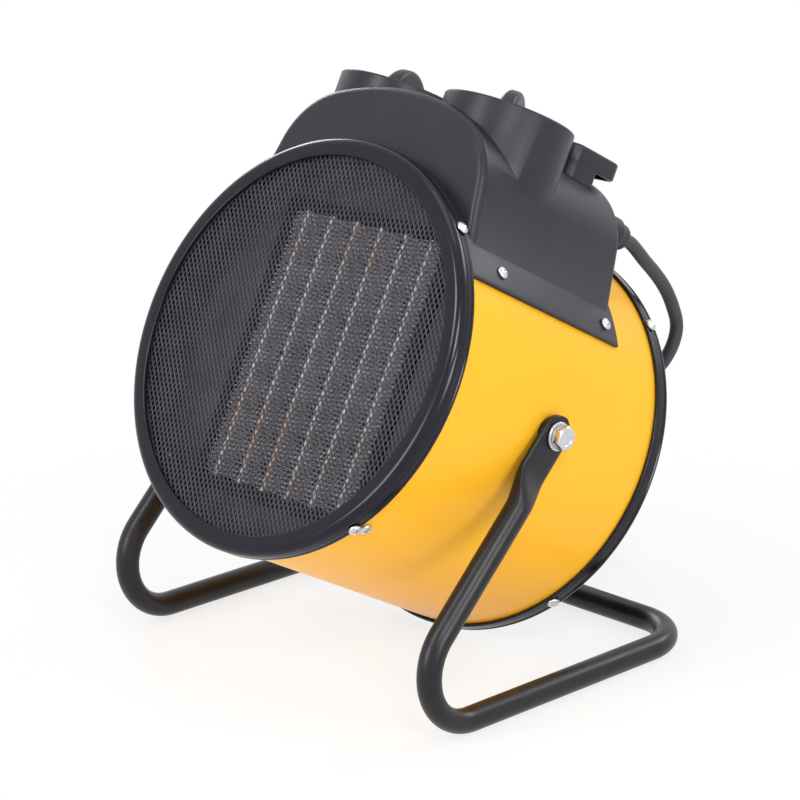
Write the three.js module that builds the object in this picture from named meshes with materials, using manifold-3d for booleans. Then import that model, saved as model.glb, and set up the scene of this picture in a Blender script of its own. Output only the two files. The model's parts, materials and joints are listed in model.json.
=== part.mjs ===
// Forced air heater: a round steel drum that tilts between the legs of a bent-tube stand.
// Millimetres, +Z up, front of the heater towards -Y, floor at z = 0.
// The tilting body is modelled level, with the drum along Y and the pivot axis at its origin,
// and is then turned as one group.
import * as THREE from 'three';
import { mergeVertices } from 'three/addons/utils/BufferGeometryUtils.js';
import loadManifold from 'manifold-3d';

const wasm = await loadManifold();
wasm.setup();

// ---- Driving dimensions --------------------------------------------------------------

const seatGap = 0.3; // between two pieces that touch
const runGap = 0.35; // round a turning spindle or shaft
const tiltAngle = 28; // degrees that the front is raised
const floorClearance = 0.84; // under the rear ring's lower edge

const drumRadius = 121.5; // outside of the sheet
const drumWall = 1.2;
const faceAhead = 99.5; // front face to the pivot axis
const faceBehind = 103; // pivot axis to the rear face
const drumSides = 40; // facets round the drum, its rings and its discs

const frontRing = { over: 3.5, length: 12.5, lip: 5, flange: 11.5, sheet: 2.2, side: -1 };
const rearRing = { over: 2.3, length: 12, lip: 3, flange: 9, sheet: 2, side: 1 };
const ringGroove = { width: 1.8, depth: 1 };
const ringScrewAngle = 45; // from the top, and its three mirror images

const meshSheet = 1.4; // thickness of both guards
const meshCell = { width: 33, height: 19.8, bar: 3 }; // one diamond of the guards
const rearMeshScale = 1.45;
const meshRim = 7; // plain edge under the ring flanges

const tubeDiameter = 15;
const legClear = 1.3; // between the drum's side and the round of the tube
const legLean = 45; // degrees, forwards from the pivots
const crossbarBehind = 119.7; // pivot axis to the rear crossbar
const frontBend = 33; // centre-line radii of the tube
const rearBend = 36;
const bendFlattening = 0.1; // share of the tube's height lost in the front bends
const earThickness = 4.4; // flattened tube end
const earWidth = 22.6;
const earReach = 12; // past the bolt
const earLength = 24; // flat stretch below the bolt
const earBlend = 26; // flat to round

const boltSize = 8;
const boltHead = { across: 13, height: 5.6 };
const boltNut = { across: 13, height: 6.5 };
const washer = { diameter: 17, thickness: 1.6 };
const spacer = { diameter: 20, thickness: 1.6 }; // between drum and ear

const screw = { shank: 2.9, head: 7.6, rise: 2.5, length: 8 };

const element = { width: 124, height: 166, depth: 15, behindFace: 29.5, drop: 1.5 };
const elementRods = { count: 6, thickness: 2.4, pitch: 21.3 };
const elementFins = { count: 9, thickness: 1.4, inset: 1.5 };
const elementFrame = { width: 7, lip: 3, depth: 19 };
const baffle = { sheet: 1.2, rim: 16, behindFrame: 4 };
const baffleScrewAngle = 135;
const cutout = { diameter: 16, height: 9, above: 3.5 }; // above the element's frame

const motor = { diameter: 64, length: 42, boss: 16, bossLength: 3 };
const motorAhead = 22; // motor's front face to the pivot axis
const bracket = { width: 30, sheet: 2, foot: 16 };
const wirePassage = { width: 56, length: 28, ahead: 4 }; // ahead of the bracket's feet
const shaft = { diameter: 6, ahead: 28, behind: 64 };
const fan = { radius: 99, hub: 24, hubLength: 22, blades: 6, blade: 1.8, behind: 34 };
const fanPitch = { root: 42, tip: 24 }; // degrees off the fan's plane
const fanChord = { root: 32, tip: 62 };
const fanNut = { across: 10, height: 5 };

const housing = {
  roofRise: 41, // above the drum
  corner: 48, // radius between roof and side walls
  sideLean: 12.5, // degrees off upright
  sideAngle: 49.88, // from the top to where a side wall meets the drum
  setback: 5, // front wall behind the front ring
  rear: 51.5, // rear wall behind it
  edge: 5, // rounding of the front and rear edges
  wall: 2.6,
  flange: 2.2, // thickness of the foot on the drum
  flangeAngle: 58.5, // half of the foot's wrap round the drum
};
const housingScrewAngle = 53.3;
const housingScrewInset = { front: 28, rear: 11.4 }; // from the ends of the foot

// Heights on the housing are above the drum.
const well = { x: 43.5, setback: 6.7, radius: 39.8, wall: 2.8, rim: 48, floor: 27.5 };
const spindle = { diameter: 6, clear: 1.5, bottom: 12.5 };
const knob = { radius: 29, skirt: 7.5, lift: 0.8, grip: 13, gripRadius: 25, top: 61.5, bore: 14 };
const knobTurn = { left: 106, right: 121 }; // degrees of each grip from +X
const switchBody = { width: 33, height: 23, edge: 1.5 };

const scoop = { width: 92, behind: 3.7, floor: 19.5, corner: 7 }; // hand recess behind the wells
const handle = { width: 124, front: 1, over: 2.5, top: 49, thickness: 11, corner: 8 };
const handleHole = { width: 84, depth: 15, front: 7 };
const handlePocket = { wall: 3.2, depth: 7 }; // under the rear half of the handle
const handlePost = { width: 13, depth: 24 };

const gland = { x: 60.9, height: 10.5, neck: 12, nut: 20, nutLength: 13, tip: 12.6, length: 24 };
const locknut = { across: 18, height: 5 };
const terminal = { width: 42, depth: 17, height: 13, behind: 27 };

const cordDiameter = 8.4;
const coil = { x: -85, y: 195, radius: 43, pitch: 9, layer: 9, entry: 45, turns: 4.1 };
const coilTail = { length: 46, rise: 5.6 };
const plug = { radius: 18.6, length: 52, face: 17 };
const plugPin = { diameter: 4.8, length: 19, spacing: 19, root: 8 };

// ---- Values that follow from them ----------------------------------------------------

const rad = THREE.MathUtils.degToRad;
const polygonShrink = Math.cos(Math.PI / drumSides);
const drumBore = (drumRadius - drumWall) * polygonShrink; // least inner radius of the facets
const boreClear = drumBore - seatGap; // largest radius of what sits inside the drum
const ringBore = (drumRadius + seatGap) / polygonShrink;
const frontRingRadius = drumRadius + frontRing.over;
const rearRingRadius = drumRadius + rearRing.over;
const tubeRadius = tubeDiameter / 2;
const legX = drumRadius + legClear + tubeRadius;
const screwHole = screw.shank + 2 * seatGap;
const tiltSin = Math.sin(rad(tiltAngle));
const tiltCos = Math.cos(rad(tiltAngle));
const pivotHeight = floorClearance + faceBehind * tiltSin + rearRingRadius * tiltCos;

const housingFront = faceAhead - frontRing.length - housing.setback; // ahead of the pivot axis
const footFront = faceAhead - frontRing.length - seatGap - 0.2;
const footRear = housing.rear + 1;
const housingScrews = [footFront - housingScrewInset.front, housingScrewInset.rear - footRear];
const wellAhead = housingFront - well.setback - well.radius;
const scoopFrom = well.radius - wellAhead + scoop.behind;
const handleFront = scoopFrom + handle.front;
const handleRear = housing.rear + handle.over;
const wellRim = drumRadius + well.rim;
const wellFloor = drumRadius + well.floor;
const spindleBottom = drumRadius + spindle.bottom;
const handleTop = drumRadius + handle.top;
const glandHeight = drumRadius + gland.height;

// The origin is under the middle of the standing object, from the front ring's lower edge
// to the rear ring's upper edge.
const frontReach = faceAhead * tiltCos + frontRingRadius * tiltSin - frontRing.lip * 0.4;
const rearReach = faceBehind * tiltCos + rearRingRadius * tiltSin - rearRing.lip * 0.4;
const pivotY = (frontReach - rearReach) / 2;

// ---- Geometry helpers ----------------------------------------------------------------

// Makes one closed, outward-facing body of a geometry whose corners may be doubled.
function closed(geometry) {
  const bare = geometry.index ? geometry.clone() : geometry;
  bare.deleteAttribute('normal');
  bare.deleteAttribute('uv');
  const merged = mergeVertices(bare, 1e-4);
  const p = merged.attributes.position;
  const corners = merged.index.array;
  const kept = [];
  let volume = 0;
  const [a, b, c] = [new THREE.Vector3(), new THREE.Vector3(), new THREE.Vector3()];
  for (let i = 0; i < corners.length; i += 3) {
    const [u, v, w] = [corners[i], corners[i + 1], corners[i + 2]];
    if (u === v || v === w || w === u) continue;
    kept.push([u, v, w]);
    a.fromBufferAttribute(p, u);
    b.fromBufferAttribute(p, v);
    c.fromBufferAttribute(p, w);
    volume += a.dot(b.cross(c));
  }
  const faces = volume < 0 ? kept.map(([u, v, w]) => [u, w, v]) : kept;
  const result = new THREE.BufferGeometry();
  result.setAttribute('position', new THREE.Float32BufferAttribute(p.array, 3));
  result.setIndex(faces.flat());
  return result;
}

function solid(geometry) {
  const g = closed(geometry);
  return new wasm.Manifold(new wasm.Mesh({
    numProp: 3,
    vertProperties: new Float32Array(g.attributes.position.array),
    triVerts: new Uint32Array(g.index.array),
  }));
}

function surface(body) {
  const mesh = body.getMesh();
  const g = new THREE.BufferGeometry();
  g.setAttribute('position', new THREE.Float32BufferAttribute(mesh.vertProperties, 3));
  g.setIndex(Array.from(mesh.triVerts));
  return g;
}

const joined = (...parts) => parts.map(solid).reduce((sum, part) => sum.add(part));
const cut = (body, ...tools) => tools.reduce((rest, tool) => rest.subtract(solid(tool)), body);

// A body of revolution round Y from [radius, y] points, closed on itself or on the axis.
function revolved(points, sides = drumSides) {
  return closed(new THREE.LatheGeometry(points.map(([r, y]) => new THREE.Vector2(r, y)), sides));
}

// The same round Z, with [radius, z] points.
const turned = (points, sides) => revolved(points, sides).rotateX(Math.PI / 2);

const ringOf = (points) => [...points, points[0]];

function rod(radius, from, to, sides = 16) {
  const axis = new THREE.Vector3().subVectors(to, from);
  const g = new THREE.CylinderGeometry(radius, radius, axis.length(), sides);
  const turn = new THREE.Quaternion().setFromUnitVectors(
    new THREE.Vector3(0, 1, 0), axis.clone().normalize());
  return g.applyQuaternion(turn).translate(...from.clone().add(to).multiplyScalar(0.5));
}

function block(x0, x1, y0, y1, z0, z1) {
  return new THREE.BoxGeometry(x1 - x0, y1 - y0, z1 - z0)
    .translate((x0 + x1) / 2, (y0 + y1) / 2, (z0 + z1) / 2);
}

function roundedRectangle(width, height, radius, centreX = 0, centreY = 0) {
  const [w, h] = [width / 2 - radius, height / 2 - radius];
  const s = new THREE.Shape();
  s.absarc(centreX + w, centreY + h, radius, 0, Math.PI / 2);
  s.absarc(centreX - w, centreY + h, radius, Math.PI / 2, Math.PI);
  s.absarc(centreX - w, centreY - h, radius, Math.PI, Math.PI * 1.5);
  s.absarc(centreX + w, centreY - h, radius, Math.PI * 1.5, Math.PI * 2);
  s.closePath();
  return s;
}

// The outline as corner points, without the doubled ones where its arcs meet.
function distinct(path, curveSegments) {
  const corners = [];
  for (const p of path.getPoints(curveSegments)) {
    const near = corners.length > 0 && corners.at(-1).distanceTo(p) < 0.02;
    if (!near) corners.push(p);
  }
  if (corners[0].distanceTo(corners.at(-1)) < 0.02) corners.pop();
  return corners;
}

// A prism with rounded edges, its outline drawn in XY and its height from z0 to z1.
function roundedPrism(shape, z0, z1, edge, curveSegments = 4, bevelSegments = 2) {
  const outline = new THREE.Shape(distinct(shape, curveSegments));
  outline.holes = shape.holes.map((hole) => new THREE.Path(distinct(hole, curveSegments)));
  return new THREE.ExtrudeGeometry(outline, {
    depth: z1 - z0 - 2 * edge, bevelEnabled: edge > 0, bevelSegments,
    bevelThickness: edge, bevelSize: edge, bevelOffset: -edge,
  }).translate(0, 0, z0 + edge);
}

// A hexagonal nut or bolt head with turned corners, along +Y from y = 0.
function hexagon(across, height, corner = 0.93) {
  const circumradius = across / Math.sqrt(3);
  const prism = new THREE.CylinderGeometry(circumradius, circumradius, height, 6)
    .translate(0, height / 2, 0);
  const dome = revolved([[0, 0], [circumradius + 1, 0], [circumradius + 1, height * 0.72],
    [circumradius * corner, height], [0, height]], 24);
  return surface(solid(prism).intersect(solid(dome)));
}

// Skins rows of points, each a closed outline of the same count, into one capped body.
function lofted(rows) {
  const sides = rows[0].length;
  const points = rows.flat();
  const faces = [];
  for (let i = 0; i < rows.length - 1; i += 1) {
    for (let j = 0; j < sides; j += 1) {
      const [a, b] = [i * sides + j, i * sides + (j + 1) % sides];
      faces.push([a, b, b + sides], [a, b + sides, a + sides]);
    }
  }
  for (const row of [0, rows.length - 1]) {
    const centre = rows[row].reduce((sum, p) => sum.add(p), new THREE.Vector3())
      .divideScalar(sides);
    points.push(centre);
    for (let j = 0; j < sides; j += 1) {
      const [a, b] = [row * sides + j, row * sides + (j + 1) % sides];
      faces.push(row === 0 ? [b, a, points.length - 1] : [a, b, points.length - 1]);
    }
  }
  const g = new THREE.BufferGeometry().setFromPoints(points);
  g.setIndex(faces.flat());
  return closed(g);
}

// Frames that follow a list of {point, tangent} without twisting.
function carriedFrames(stations, firstNormal) {
  let normal = firstNormal.clone();
  return stations.map((station, i) => {
    if (i > 0) {
      const turn = new THREE.Quaternion()
        .setFromUnitVectors(stations[i - 1].tangent, station.tangent);
      normal = normal.clone().applyQuaternion(turn);
    }
    return { ...station, normal, side: station.tangent.clone().cross(normal) };
  });
}

// Straight runs between corners, joined by arcs of the given radii.
// Each station in a bend says how far into it it is: 0 at its ends, 1 at its middle.
function bentCentreLine(corners, radii, stepAngle) {
  const stations = [];
  corners.slice(1, -1).forEach((corner, i) => {
    const back = corners[i].clone().sub(corner).normalize();
    const on = corners[i + 2].clone().sub(corner).normalize();
    const half = back.angleTo(on) / 2;
    const middle = back.clone().add(on).normalize();
    const centre = corner.clone().addScaledVector(middle, radii[i] / Math.sin(half));
    const from = corner.clone().addScaledVector(back, radii[i] / Math.tan(half)).sub(centre);
    const axis = back.clone().cross(on).normalize().negate();
    const swing = Math.PI - 2 * half;
    const steps = Math.ceil(swing / rad(stepAngle));
    for (let k = 0; k <= steps; k += 1) {
      const angle = swing * k / steps;
      stations.push({
        point: from.clone().applyAxisAngle(axis, angle).add(centre),
        tangent: back.clone().negate().applyAxisAngle(axis, angle),
        bent: Math.sin(Math.PI * k / steps),
        radius: radii[i],
      });
    }
  });
  return stations;
}

// ---- Stand ---------------------------------------------------------------------------

const earInner = drumRadius + spacer.thickness + 2 * seatGap;
const earOuter = earInner + earThickness;

// Half the tube's section at a distance from its end: [thickness, width, inward shift].
function earSection(distance) {
  const ear = earReach + earLength;
  const blend = THREE.MathUtils.smoothstep(distance, ear, ear + earBlend);
  const past = Math.max(0, earReach - distance);
  const round = Math.sqrt(Math.max(0.02, 1 - (past / earReach) ** 2));
  const earCentre = earInner + earThickness / 2;
  return {
    thickness: THREE.MathUtils.lerp(earThickness / 2, tubeRadius, blend),
    width: THREE.MathUtils.lerp(earWidth / 2, tubeRadius, blend) * round,
    shift: (legX - earCentre) * (1 - blend),
    squareness: THREE.MathUtils.lerp(3.2, 2, blend),
  };
}

function standTube() {
  const lean = rad(legLean);
  const floorHeight = tubeRadius;
  const down = new THREE.Vector3(0, -Math.sin(lean), -Math.cos(lean));
  const drop = (pivotHeight - floorHeight) / Math.cos(lean);
  const pivot = (x) => new THREE.Vector3(x, pivotY, pivotHeight);
  const corners = [
    pivot(legX).addScaledVector(down, -earReach),
    pivot(legX).addScaledVector(down, drop),
    new THREE.Vector3(legX, pivotY + crossbarBehind, floorHeight),
    new THREE.Vector3(-legX, pivotY + crossbarBehind, floorHeight),
    pivot(-legX).addScaledVector(down, drop),
    pivot(-legX).addScaledVector(down, -earReach),
  ];
  const bends = bentCentreLine(corners, [frontBend, rearBend, rearBend, frontBend], 20);
  const earSteps = [0, 0.5, 2, 4.5, 8, earReach, earReach + earLength,
    ...[0.25, 0.5, 0.75, 1].map((s) => earReach + earLength + s * earBlend)];
  const leg = (end, direction) => earSteps.map((s) => ({
    point: end.clone().addScaledVector(direction, s),
    tangent: direction.clone(),
    section: earSection(s),
  }));
  const up = down.clone().negate();
  const leftLeg = leg(corners[5], down).reverse().map((s) => ({ ...s, tangent: up.clone() }));
  const stations = [...leg(corners[0], down), ...bends, ...leftLeg];
  const sides = 12;
  const flat = Math.PI / sides; // turns a facet to the floor
  const rows = carriedFrames(stations, new THREE.Vector3(1, 0, 0)).map((s) => {
    const squashed = s.radius === frontBend ? 1 - bendFlattening * s.bent : 1;
    const round = { thickness: tubeRadius, width: tubeRadius * squashed, shift: 0, squareness: 2 };
    const { thickness, width, shift, squareness } = s.section ?? round;
    const inward = s.point.x > 0 ? -shift : shift;
    return Array.from({ length: sides }, (_, j) => {
      const angle = 2 * Math.PI * j / sides + flat;
      const [c, v] = [Math.cos(angle), Math.sin(angle)];
      const power = 2 / squareness;
      const n = Math.sign(c) * Math.abs(c) ** power * thickness / Math.cos(flat);
      const b = Math.sign(v) * Math.abs(v) ** power * width / Math.cos(flat);
      return s.point.clone().addScaledVector(s.normal, n).addScaledVector(s.side, b)
        .add(new THREE.Vector3(inward, 0, 0));
    });
  });
  const hole = (x) => rod(boltSize / 2 + 0.4, pivot(x - 20), pivot(x + 20));
  return surface(cut(solid(lofted(rows)), hole(legX), hole(-legX)));
}

// ---- Drum, rings and guards ----------------------------------------------------------

// A place on or round the drum: angle from the top towards +X, distance ahead of the pivot.
function drumPoint(radius, angle, ahead) {
  return new THREE.Vector3(radius * Math.sin(rad(angle)), -ahead, radius * Math.cos(rad(angle)));
}

const mirrored = (angle) => [angle, -angle];
const ringScrewAngles = [...mirrored(ringScrewAngle), ...mirrored(180 - ringScrewAngle)];
const frontScrewAhead = faceAhead - (frontRing.length + ringGroove.width + frontRing.lip) / 2;
const rearScrewAhead = -faceBehind + (rearRing.length + rearRing.lip) / 2;
const baffleAhead = faceAhead - element.behindFace - baffle.behindFrame; // its front surface
const baffleScrewAhead = baffleAhead + baffle.rim - 2.5;

function radialHole(angle, ahead) {
  const [low, high] = [drumRadius - 14, drumRadius + 8];
  return rod(screwHole / 2, drumPoint(low, angle, ahead), drumPoint(high, angle, ahead), 6);
}

function drumShell() {
  const front = -(faceAhead - frontRing.sheet - meshSheet - 2 * seatGap);
  const rear = faceBehind - rearRing.sheet - meshSheet - 2 * seatGap;
  const inner = drumRadius - drumWall;
  const sheet = solid(revolved(ringOf([[inner, front], [drumRadius, front],
    [drumRadius, rear], [inner, rear]])));
  const passageRear = motor.length - motorAhead + seatGap - bracket.foot - wirePassage.ahead;
  const passage = block(-wirePassage.width / 2, wirePassage.width / 2,
    passageRear - wirePassage.length, passageRear, drumRadius - 20, drumRadius + 5);
  const pivotHoles = rod(boltSize / 2 + 0.4, new THREE.Vector3(-drumRadius - 20, 0, 0),
    new THREE.Vector3(drumRadius + 20, 0, 0));
  return surface(cut(sheet, passage, pivotHoles,
    ...ringScrewAngles.map((a) => radialHole(a, frontScrewAhead)),
    ...ringScrewAngles.map((a) => radialHole(a, rearScrewAhead)),
    ...mirrored(baffleScrewAngle).map((a) => radialHole(a, baffleScrewAhead)),
    ...mirrored(housingScrewAngle).flatMap((a) => housingScrews.map((d) => radialHole(a, d)))));
}

// A ring with a flat face, a rounded lip, a groove behind it and a band over the drum's end.
function ring({ over, length, lip, flange, sheet, side }, ahead) {
  const radius = drumRadius + over;
  const inner = radius - flange;
  const arc = Array.from({ length: 3 }, (_, i) => {
    const angle = Math.PI / 2 * i / 2;
    return [radius - lip + lip * Math.sin(angle), lip - lip * Math.cos(angle)];
  });
  const groove = lip + ringGroove.width;
  const profile = [[inner, sheet], [inner, 0], ...arc,
    [radius - ringGroove.depth, lip + ringGroove.width / 2], [radius, groove],
    [radius, length], [ringBore, length], [ringBore, sheet]];
  const face = side < 0 ? -faceAhead : faceBehind;
  const body = solid(revolved(ringOf(profile.map(([r, depth]) => [r, face - side * depth]))));
  return surface(cut(body, ...ringScrewAngles.map((a) => radialHole(a, ahead))));
}

// A flat disc of diamond mesh, its gaps in staggered rows.
function meshDisc(scale, y) {
  const outer = drumRadius - 1;
  const open = outer - meshRim;
  const cell = { x: meshCell.width * scale, z: meshCell.height * scale };
  const bar = meshCell.bar * Math.sqrt(scale);
  const half = { x: (cell.x - bar) / 2, z: (cell.z - bar) / 2 };
  const disc = new THREE.Shape();
  disc.absarc(0, 0, outer, 0, 2 * Math.PI);
  const rows = Math.ceil(open / (cell.z / 2));
  const columns = Math.ceil(open / cell.x);
  let gaps = 0;
  for (let row = -rows; row <= rows; row += 1) {
    for (let column = -columns; column <= columns; column += 1) {
      const x = (column + (row % 2 ? 0.5 : 0)) * cell.x;
      const z = row * cell.z / 2;
      if (Math.hypot(Math.abs(x) + half.x * 0.7, Math.abs(z) + half.z * 0.7) > open) continue;
      const gap = new THREE.Path();
      gap.moveTo(x + half.x, z).lineTo(x, z + half.z).lineTo(x - half.x, z).lineTo(x, z - half.z);
      gap.closePath();
      disc.holes.push(gap);
      gaps += 1;
    }
  }
  console.log(`guard with ${gaps} gaps`);
  return new THREE.ExtrudeGeometry(disc, {
    depth: meshSheet, bevelEnabled: false, curveSegments: drumSides / 2,
  }).rotateX(Math.PI / 2).translate(0, y + meshSheet, 0);
}

// ---- Heating element and its baffle --------------------------------------------------

const elementFront = -(faceAhead - element.behindFace);
const elementMiddle = -element.drop;

// Upright heating rods crossed by thin fins, open from front to rear.
function elementCore() {
  const { width, height, depth } = element;
  const [z0, z1] = [elementMiddle - height / 2, elementMiddle + height / 2];
  const back = elementFront + depth;
  const parts = [];
  for (let i = 0; i < elementRods.count; i += 1) {
    const x = (i - (elementRods.count - 1) / 2) * elementRods.pitch - elementRods.thickness / 2;
    parts.push(block(x, x + elementRods.thickness, elementFront, back, z0, z1));
  }
  for (let i = 0; i < elementFins.count; i += 1) {
    const z = z0 + i * (height - elementFins.thickness) / (elementFins.count - 1);
    const inset = i === 0 || i === elementFins.count - 1 ? 0 : elementFins.inset;
    parts.push(block(-width / 2, width / 2, elementFront + inset, back - inset,
      z, z + elementFins.thickness));
  }
  return surface(joined(...parts));
}

// The moulded frame round the rods and fins, with a lip behind the baffle's window.
function elementSurround() {
  const { width, lip, depth } = elementFrame;
  const back = elementFront + depth;
  const slab = (grow, y0, y1) => block(-element.width / 2 - grow, element.width / 2 + grow, y0, y1,
    elementMiddle - element.height / 2 - grow, elementMiddle + element.height / 2 + grow);
  const behindBaffle = -baffleAhead + baffle.sheet + seatGap;
  return surface(cut(joined(slab(width, elementFront, back), slab(width + lip, behindBaffle, back)),
    slab(seatGap, elementFront - 5, back + 5)));
}

// A dished plate across the drum, its rim bent forwards along the wall.
function bafflePlate() {
  const back = -baffleAhead + baffle.sheet;
  const front = -baffleAhead - baffle.rim;
  const inner = boreClear - baffle.sheet;
  const profile = [[0, -baffleAhead], [inner, -baffleAhead], [inner, front], [boreClear, front],
    [boreClear, back], [0, back]];
  const grow = elementFrame.width + seatGap;
  const window = block(-element.width / 2 - grow, element.width / 2 + grow,
    -baffleAhead - 5, -baffleAhead + 5,
    elementMiddle - element.height / 2 - grow, elementMiddle + element.height / 2 + grow);
  return surface(cut(solid(revolved(profile)), window,
    ...mirrored(baffleScrewAngle).map((a) => radialHole(a, baffleScrewAhead))));
}

function thermalCutout() {
  const y = -baffleAhead + baffle.sheet + seatGap;
  const r = cutout.diameter / 2;
  const frameTop = elementMiddle + element.height / 2 + elementFrame.width + elementFrame.lip;
  return revolved([[0, y], [r, y], [r, y + 1.5], [r * 0.8, y + 2], [r * 0.8, y + cutout.height],
    [0, y + cutout.height]], 16).translate(0, 0, frameTop + cutout.above + r);
}

// ---- Fan -----------------------------------------------------------------------------

function motorCan() {
  const front = -motorAhead;
  const rear = front + motor.length;
  const r = motor.diameter / 2;
  const bore = shaft.diameter / 2 + runGap;
  return revolved(ringOf([[bore, front - motor.bossLength],
    [motor.boss / 2, front - motor.bossLength], [motor.boss / 2, front], [r - 3, front],
    [r, front + 3], [r, rear - 3], [r - 3, rear], [motor.boss / 2, rear],
    [motor.boss / 2, rear + motor.bossLength], [bore, rear + motor.bossLength]]), 14);
}

// A strap across the drum behind the motor, bent back along the wall at both ends.
function motorBracket() {
  const front = -motorAhead + motor.length + seatGap;
  const w = bracket.width / 2;
  const strap = block(-w, w, front, front + bracket.sheet, -drumRadius, drumRadius);
  const feet = [1, -1].map((s) => block(-w, w, front - bracket.foot, front + bracket.sheet,
    Math.min(s * (boreClear - bracket.sheet), s * drumRadius),
    Math.max(s * (boreClear - bracket.sheet), s * drumRadius)));
  const bossHole = rod(motor.boss / 2 + seatGap, new THREE.Vector3(0, front - 9, 0),
    new THREE.Vector3(0, front + 9, 0), 20);
  const inside = solid(revolved([[0, -200], [boreClear, -200], [boreClear, 200], [0, 200]]));
  return surface(cut(joined(strap, ...feet).intersect(inside), bossHole));
}

function motorShaft() {
  const r = shaft.diameter / 2;
  return revolved([[0, -shaft.ahead], [r - 0.5, -shaft.ahead], [r, -shaft.ahead + 0.5],
    [r, shaft.behind - 0.5], [r - 0.5, shaft.behind], [0, shaft.behind]], 10);
}

// One blade: a cambered section that widens and flattens out from hub to tip.
function fanBlade() {
  const stations = 4;
  const rows = [];
  for (let i = 0; i < stations; i += 1) {
    const share = i / (stations - 1);
    const radius = THREE.MathUtils.lerp(fan.hub - 3, fan.radius, share);
    const chord = THREE.MathUtils.lerp(fanChord.root, fanChord.tip, share ** 0.8);
    const pitch = rad(THREE.MathUtils.lerp(fanPitch.root, fanPitch.tip, share));
    const sweep = share * share * 0.22;
    const middle = fan.behind + fan.hubLength / 2;
    const across = [-0.5, 0, 0.5];
    const outline = [...across.map((s) => [s, 0.5]), ...across.map((s) => [s, -0.5]).reverse()];
    rows.push(outline.map(([s, t]) => {
      const camber = (0.25 - s * s) * chord * 0.16;
      const thick = fan.blade * (1 - 1.4 * s * s) * t;
      const along = s * chord * Math.cos(pitch) - (camber + thick) * Math.sin(pitch);
      const axial = s * chord * Math.sin(pitch) + (camber + thick) * Math.cos(pitch);
      const turn = sweep + along / radius;
      return new THREE.Vector3(radius * Math.sin(turn), middle + axial, radius * Math.cos(turn));
    }));
  }
  return lofted(rows);
}

function fanImpeller() {
  const [y0, y1, r] = [fan.behind, fan.behind + fan.hubLength, fan.hub];
  const bore = shaft.diameter / 2 + seatGap;
  const hub = revolved(ringOf([[bore, y0 + 1], [bore + 5, y0 + 1], [bore + 5, y1 - 5],
    [r - 2.5, y1 - 5], [r - 2.5, y0], [r, y0], [r, y1 - 4], [r - 4, y1], [bore, y1]]), 20);
  const blades = Array.from({ length: fan.blades }, (_, i) =>
    fanBlade().rotateY(2 * Math.PI * i / fan.blades));
  const hubCore = solid(revolved([[0, y0 - 40], [r - 2.4, y0 - 40], [r - 2.4, y1 + 40],
    [0, y1 + 40]], 20));
  const trimmed = blades.map((blade) => solid(blade).subtract(hubCore));
  return surface(trimmed.reduce((sum, blade) => sum.add(blade), solid(hub)));
}

function impellerNut() {
  const y = fan.behind + fan.hubLength + seatGap;
  const nut = solid(hexagon(fanNut.across, fanNut.height).translate(0, y, 0));
  return surface(cut(nut, rod(shaft.diameter / 2 + seatGap, new THREE.Vector3(0, y - 5, 0),
    new THREE.Vector3(0, y + 15, 0))));
}

// ---- Control housing -----------------------------------------------------------------

// The housing's cross-section, drawn in by inset: sloping sides, wide corners, round roof.
function archShape(inset, low) {
  const lean = rad(housing.sideLean);
  const roof = drumRadius + housing.roofRise - inset;
  const corner = housing.corner - inset;
  const normal = [Math.cos(lean), Math.sin(lean)];
  const side = drumRadius * Math.sin(rad(housing.sideAngle) + lean) - inset;
  const along = Math.sqrt((roof - corner) ** 2 - (side - corner) ** 2);
  const centre = [(side - corner) * normal[0] - along * normal[1],
    (side - corner) * normal[1] + along * normal[0]];
  const toRoof = Math.atan2(centre[1], centre[0]);
  const foot = (side - low * normal[1]) / normal[0];
  const s = new THREE.Shape();
  s.moveTo(-foot, low);
  s.lineTo(foot, low);
  s.absarc(centre[0], centre[1], corner, lean, toRoof, false);
  s.absarc(0, 0, roof, toRoof, Math.PI - toRoof, false);
  s.absarc(-centre[0], centre[1], corner, Math.PI - toRoof, Math.PI - lean, false);
  s.closePath();
  return s;
}

// Extrudes an XZ outline along Y from y0 to y1 with rounded ends.
function alongY(shape, y0, y1, edge, curveSegments, bevelSegments) {
  return roundedPrism(shape, -y1, -y0, edge, curveSegments, bevelSegments).rotateX(Math.PI / 2);
}

const wellSides = 24;
const wellPlaces = [well.x, -well.x].map((x) => [x, -wellAhead]);
const column = (r, x, y, z0, z1, sides) =>
  rod(r, new THREE.Vector3(x, y, z0), new THREE.Vector3(x, y, z1), sides);

// The hand recess, grown by a wall thickness for the inside of the shell.
function scoopTool(grow) {
  const width = scoop.width + 2 * grow;
  const rise = 60;
  const low = drumRadius + scoop.floor - grow;
  const shape = roundedRectangle(width, rise, scoop.corner, 0, low + rise / 2);
  return alongY(shape, scoopFrom - grow, housing.rear + 20, 0, 3);
}

// Curved foot of the housing, lying on the drum.
function housingFoot() {
  const [r0, r1] = [drumRadius + seatGap, drumRadius + seatGap + housing.flange];
  const band = new THREE.Shape();
  const [a0, a1] = mirrored(rad(housing.flangeAngle)).map((a) => Math.PI / 2 + a);
  band.absarc(0, 0, r1, a1, a0, false);
  band.absarc(0, 0, r0 / Math.cos(rad(housing.flangeAngle / 24)), a0, a1, true);
  band.closePath();
  return alongY(band, -footFront, footRear, 0, 12);
}

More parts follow.
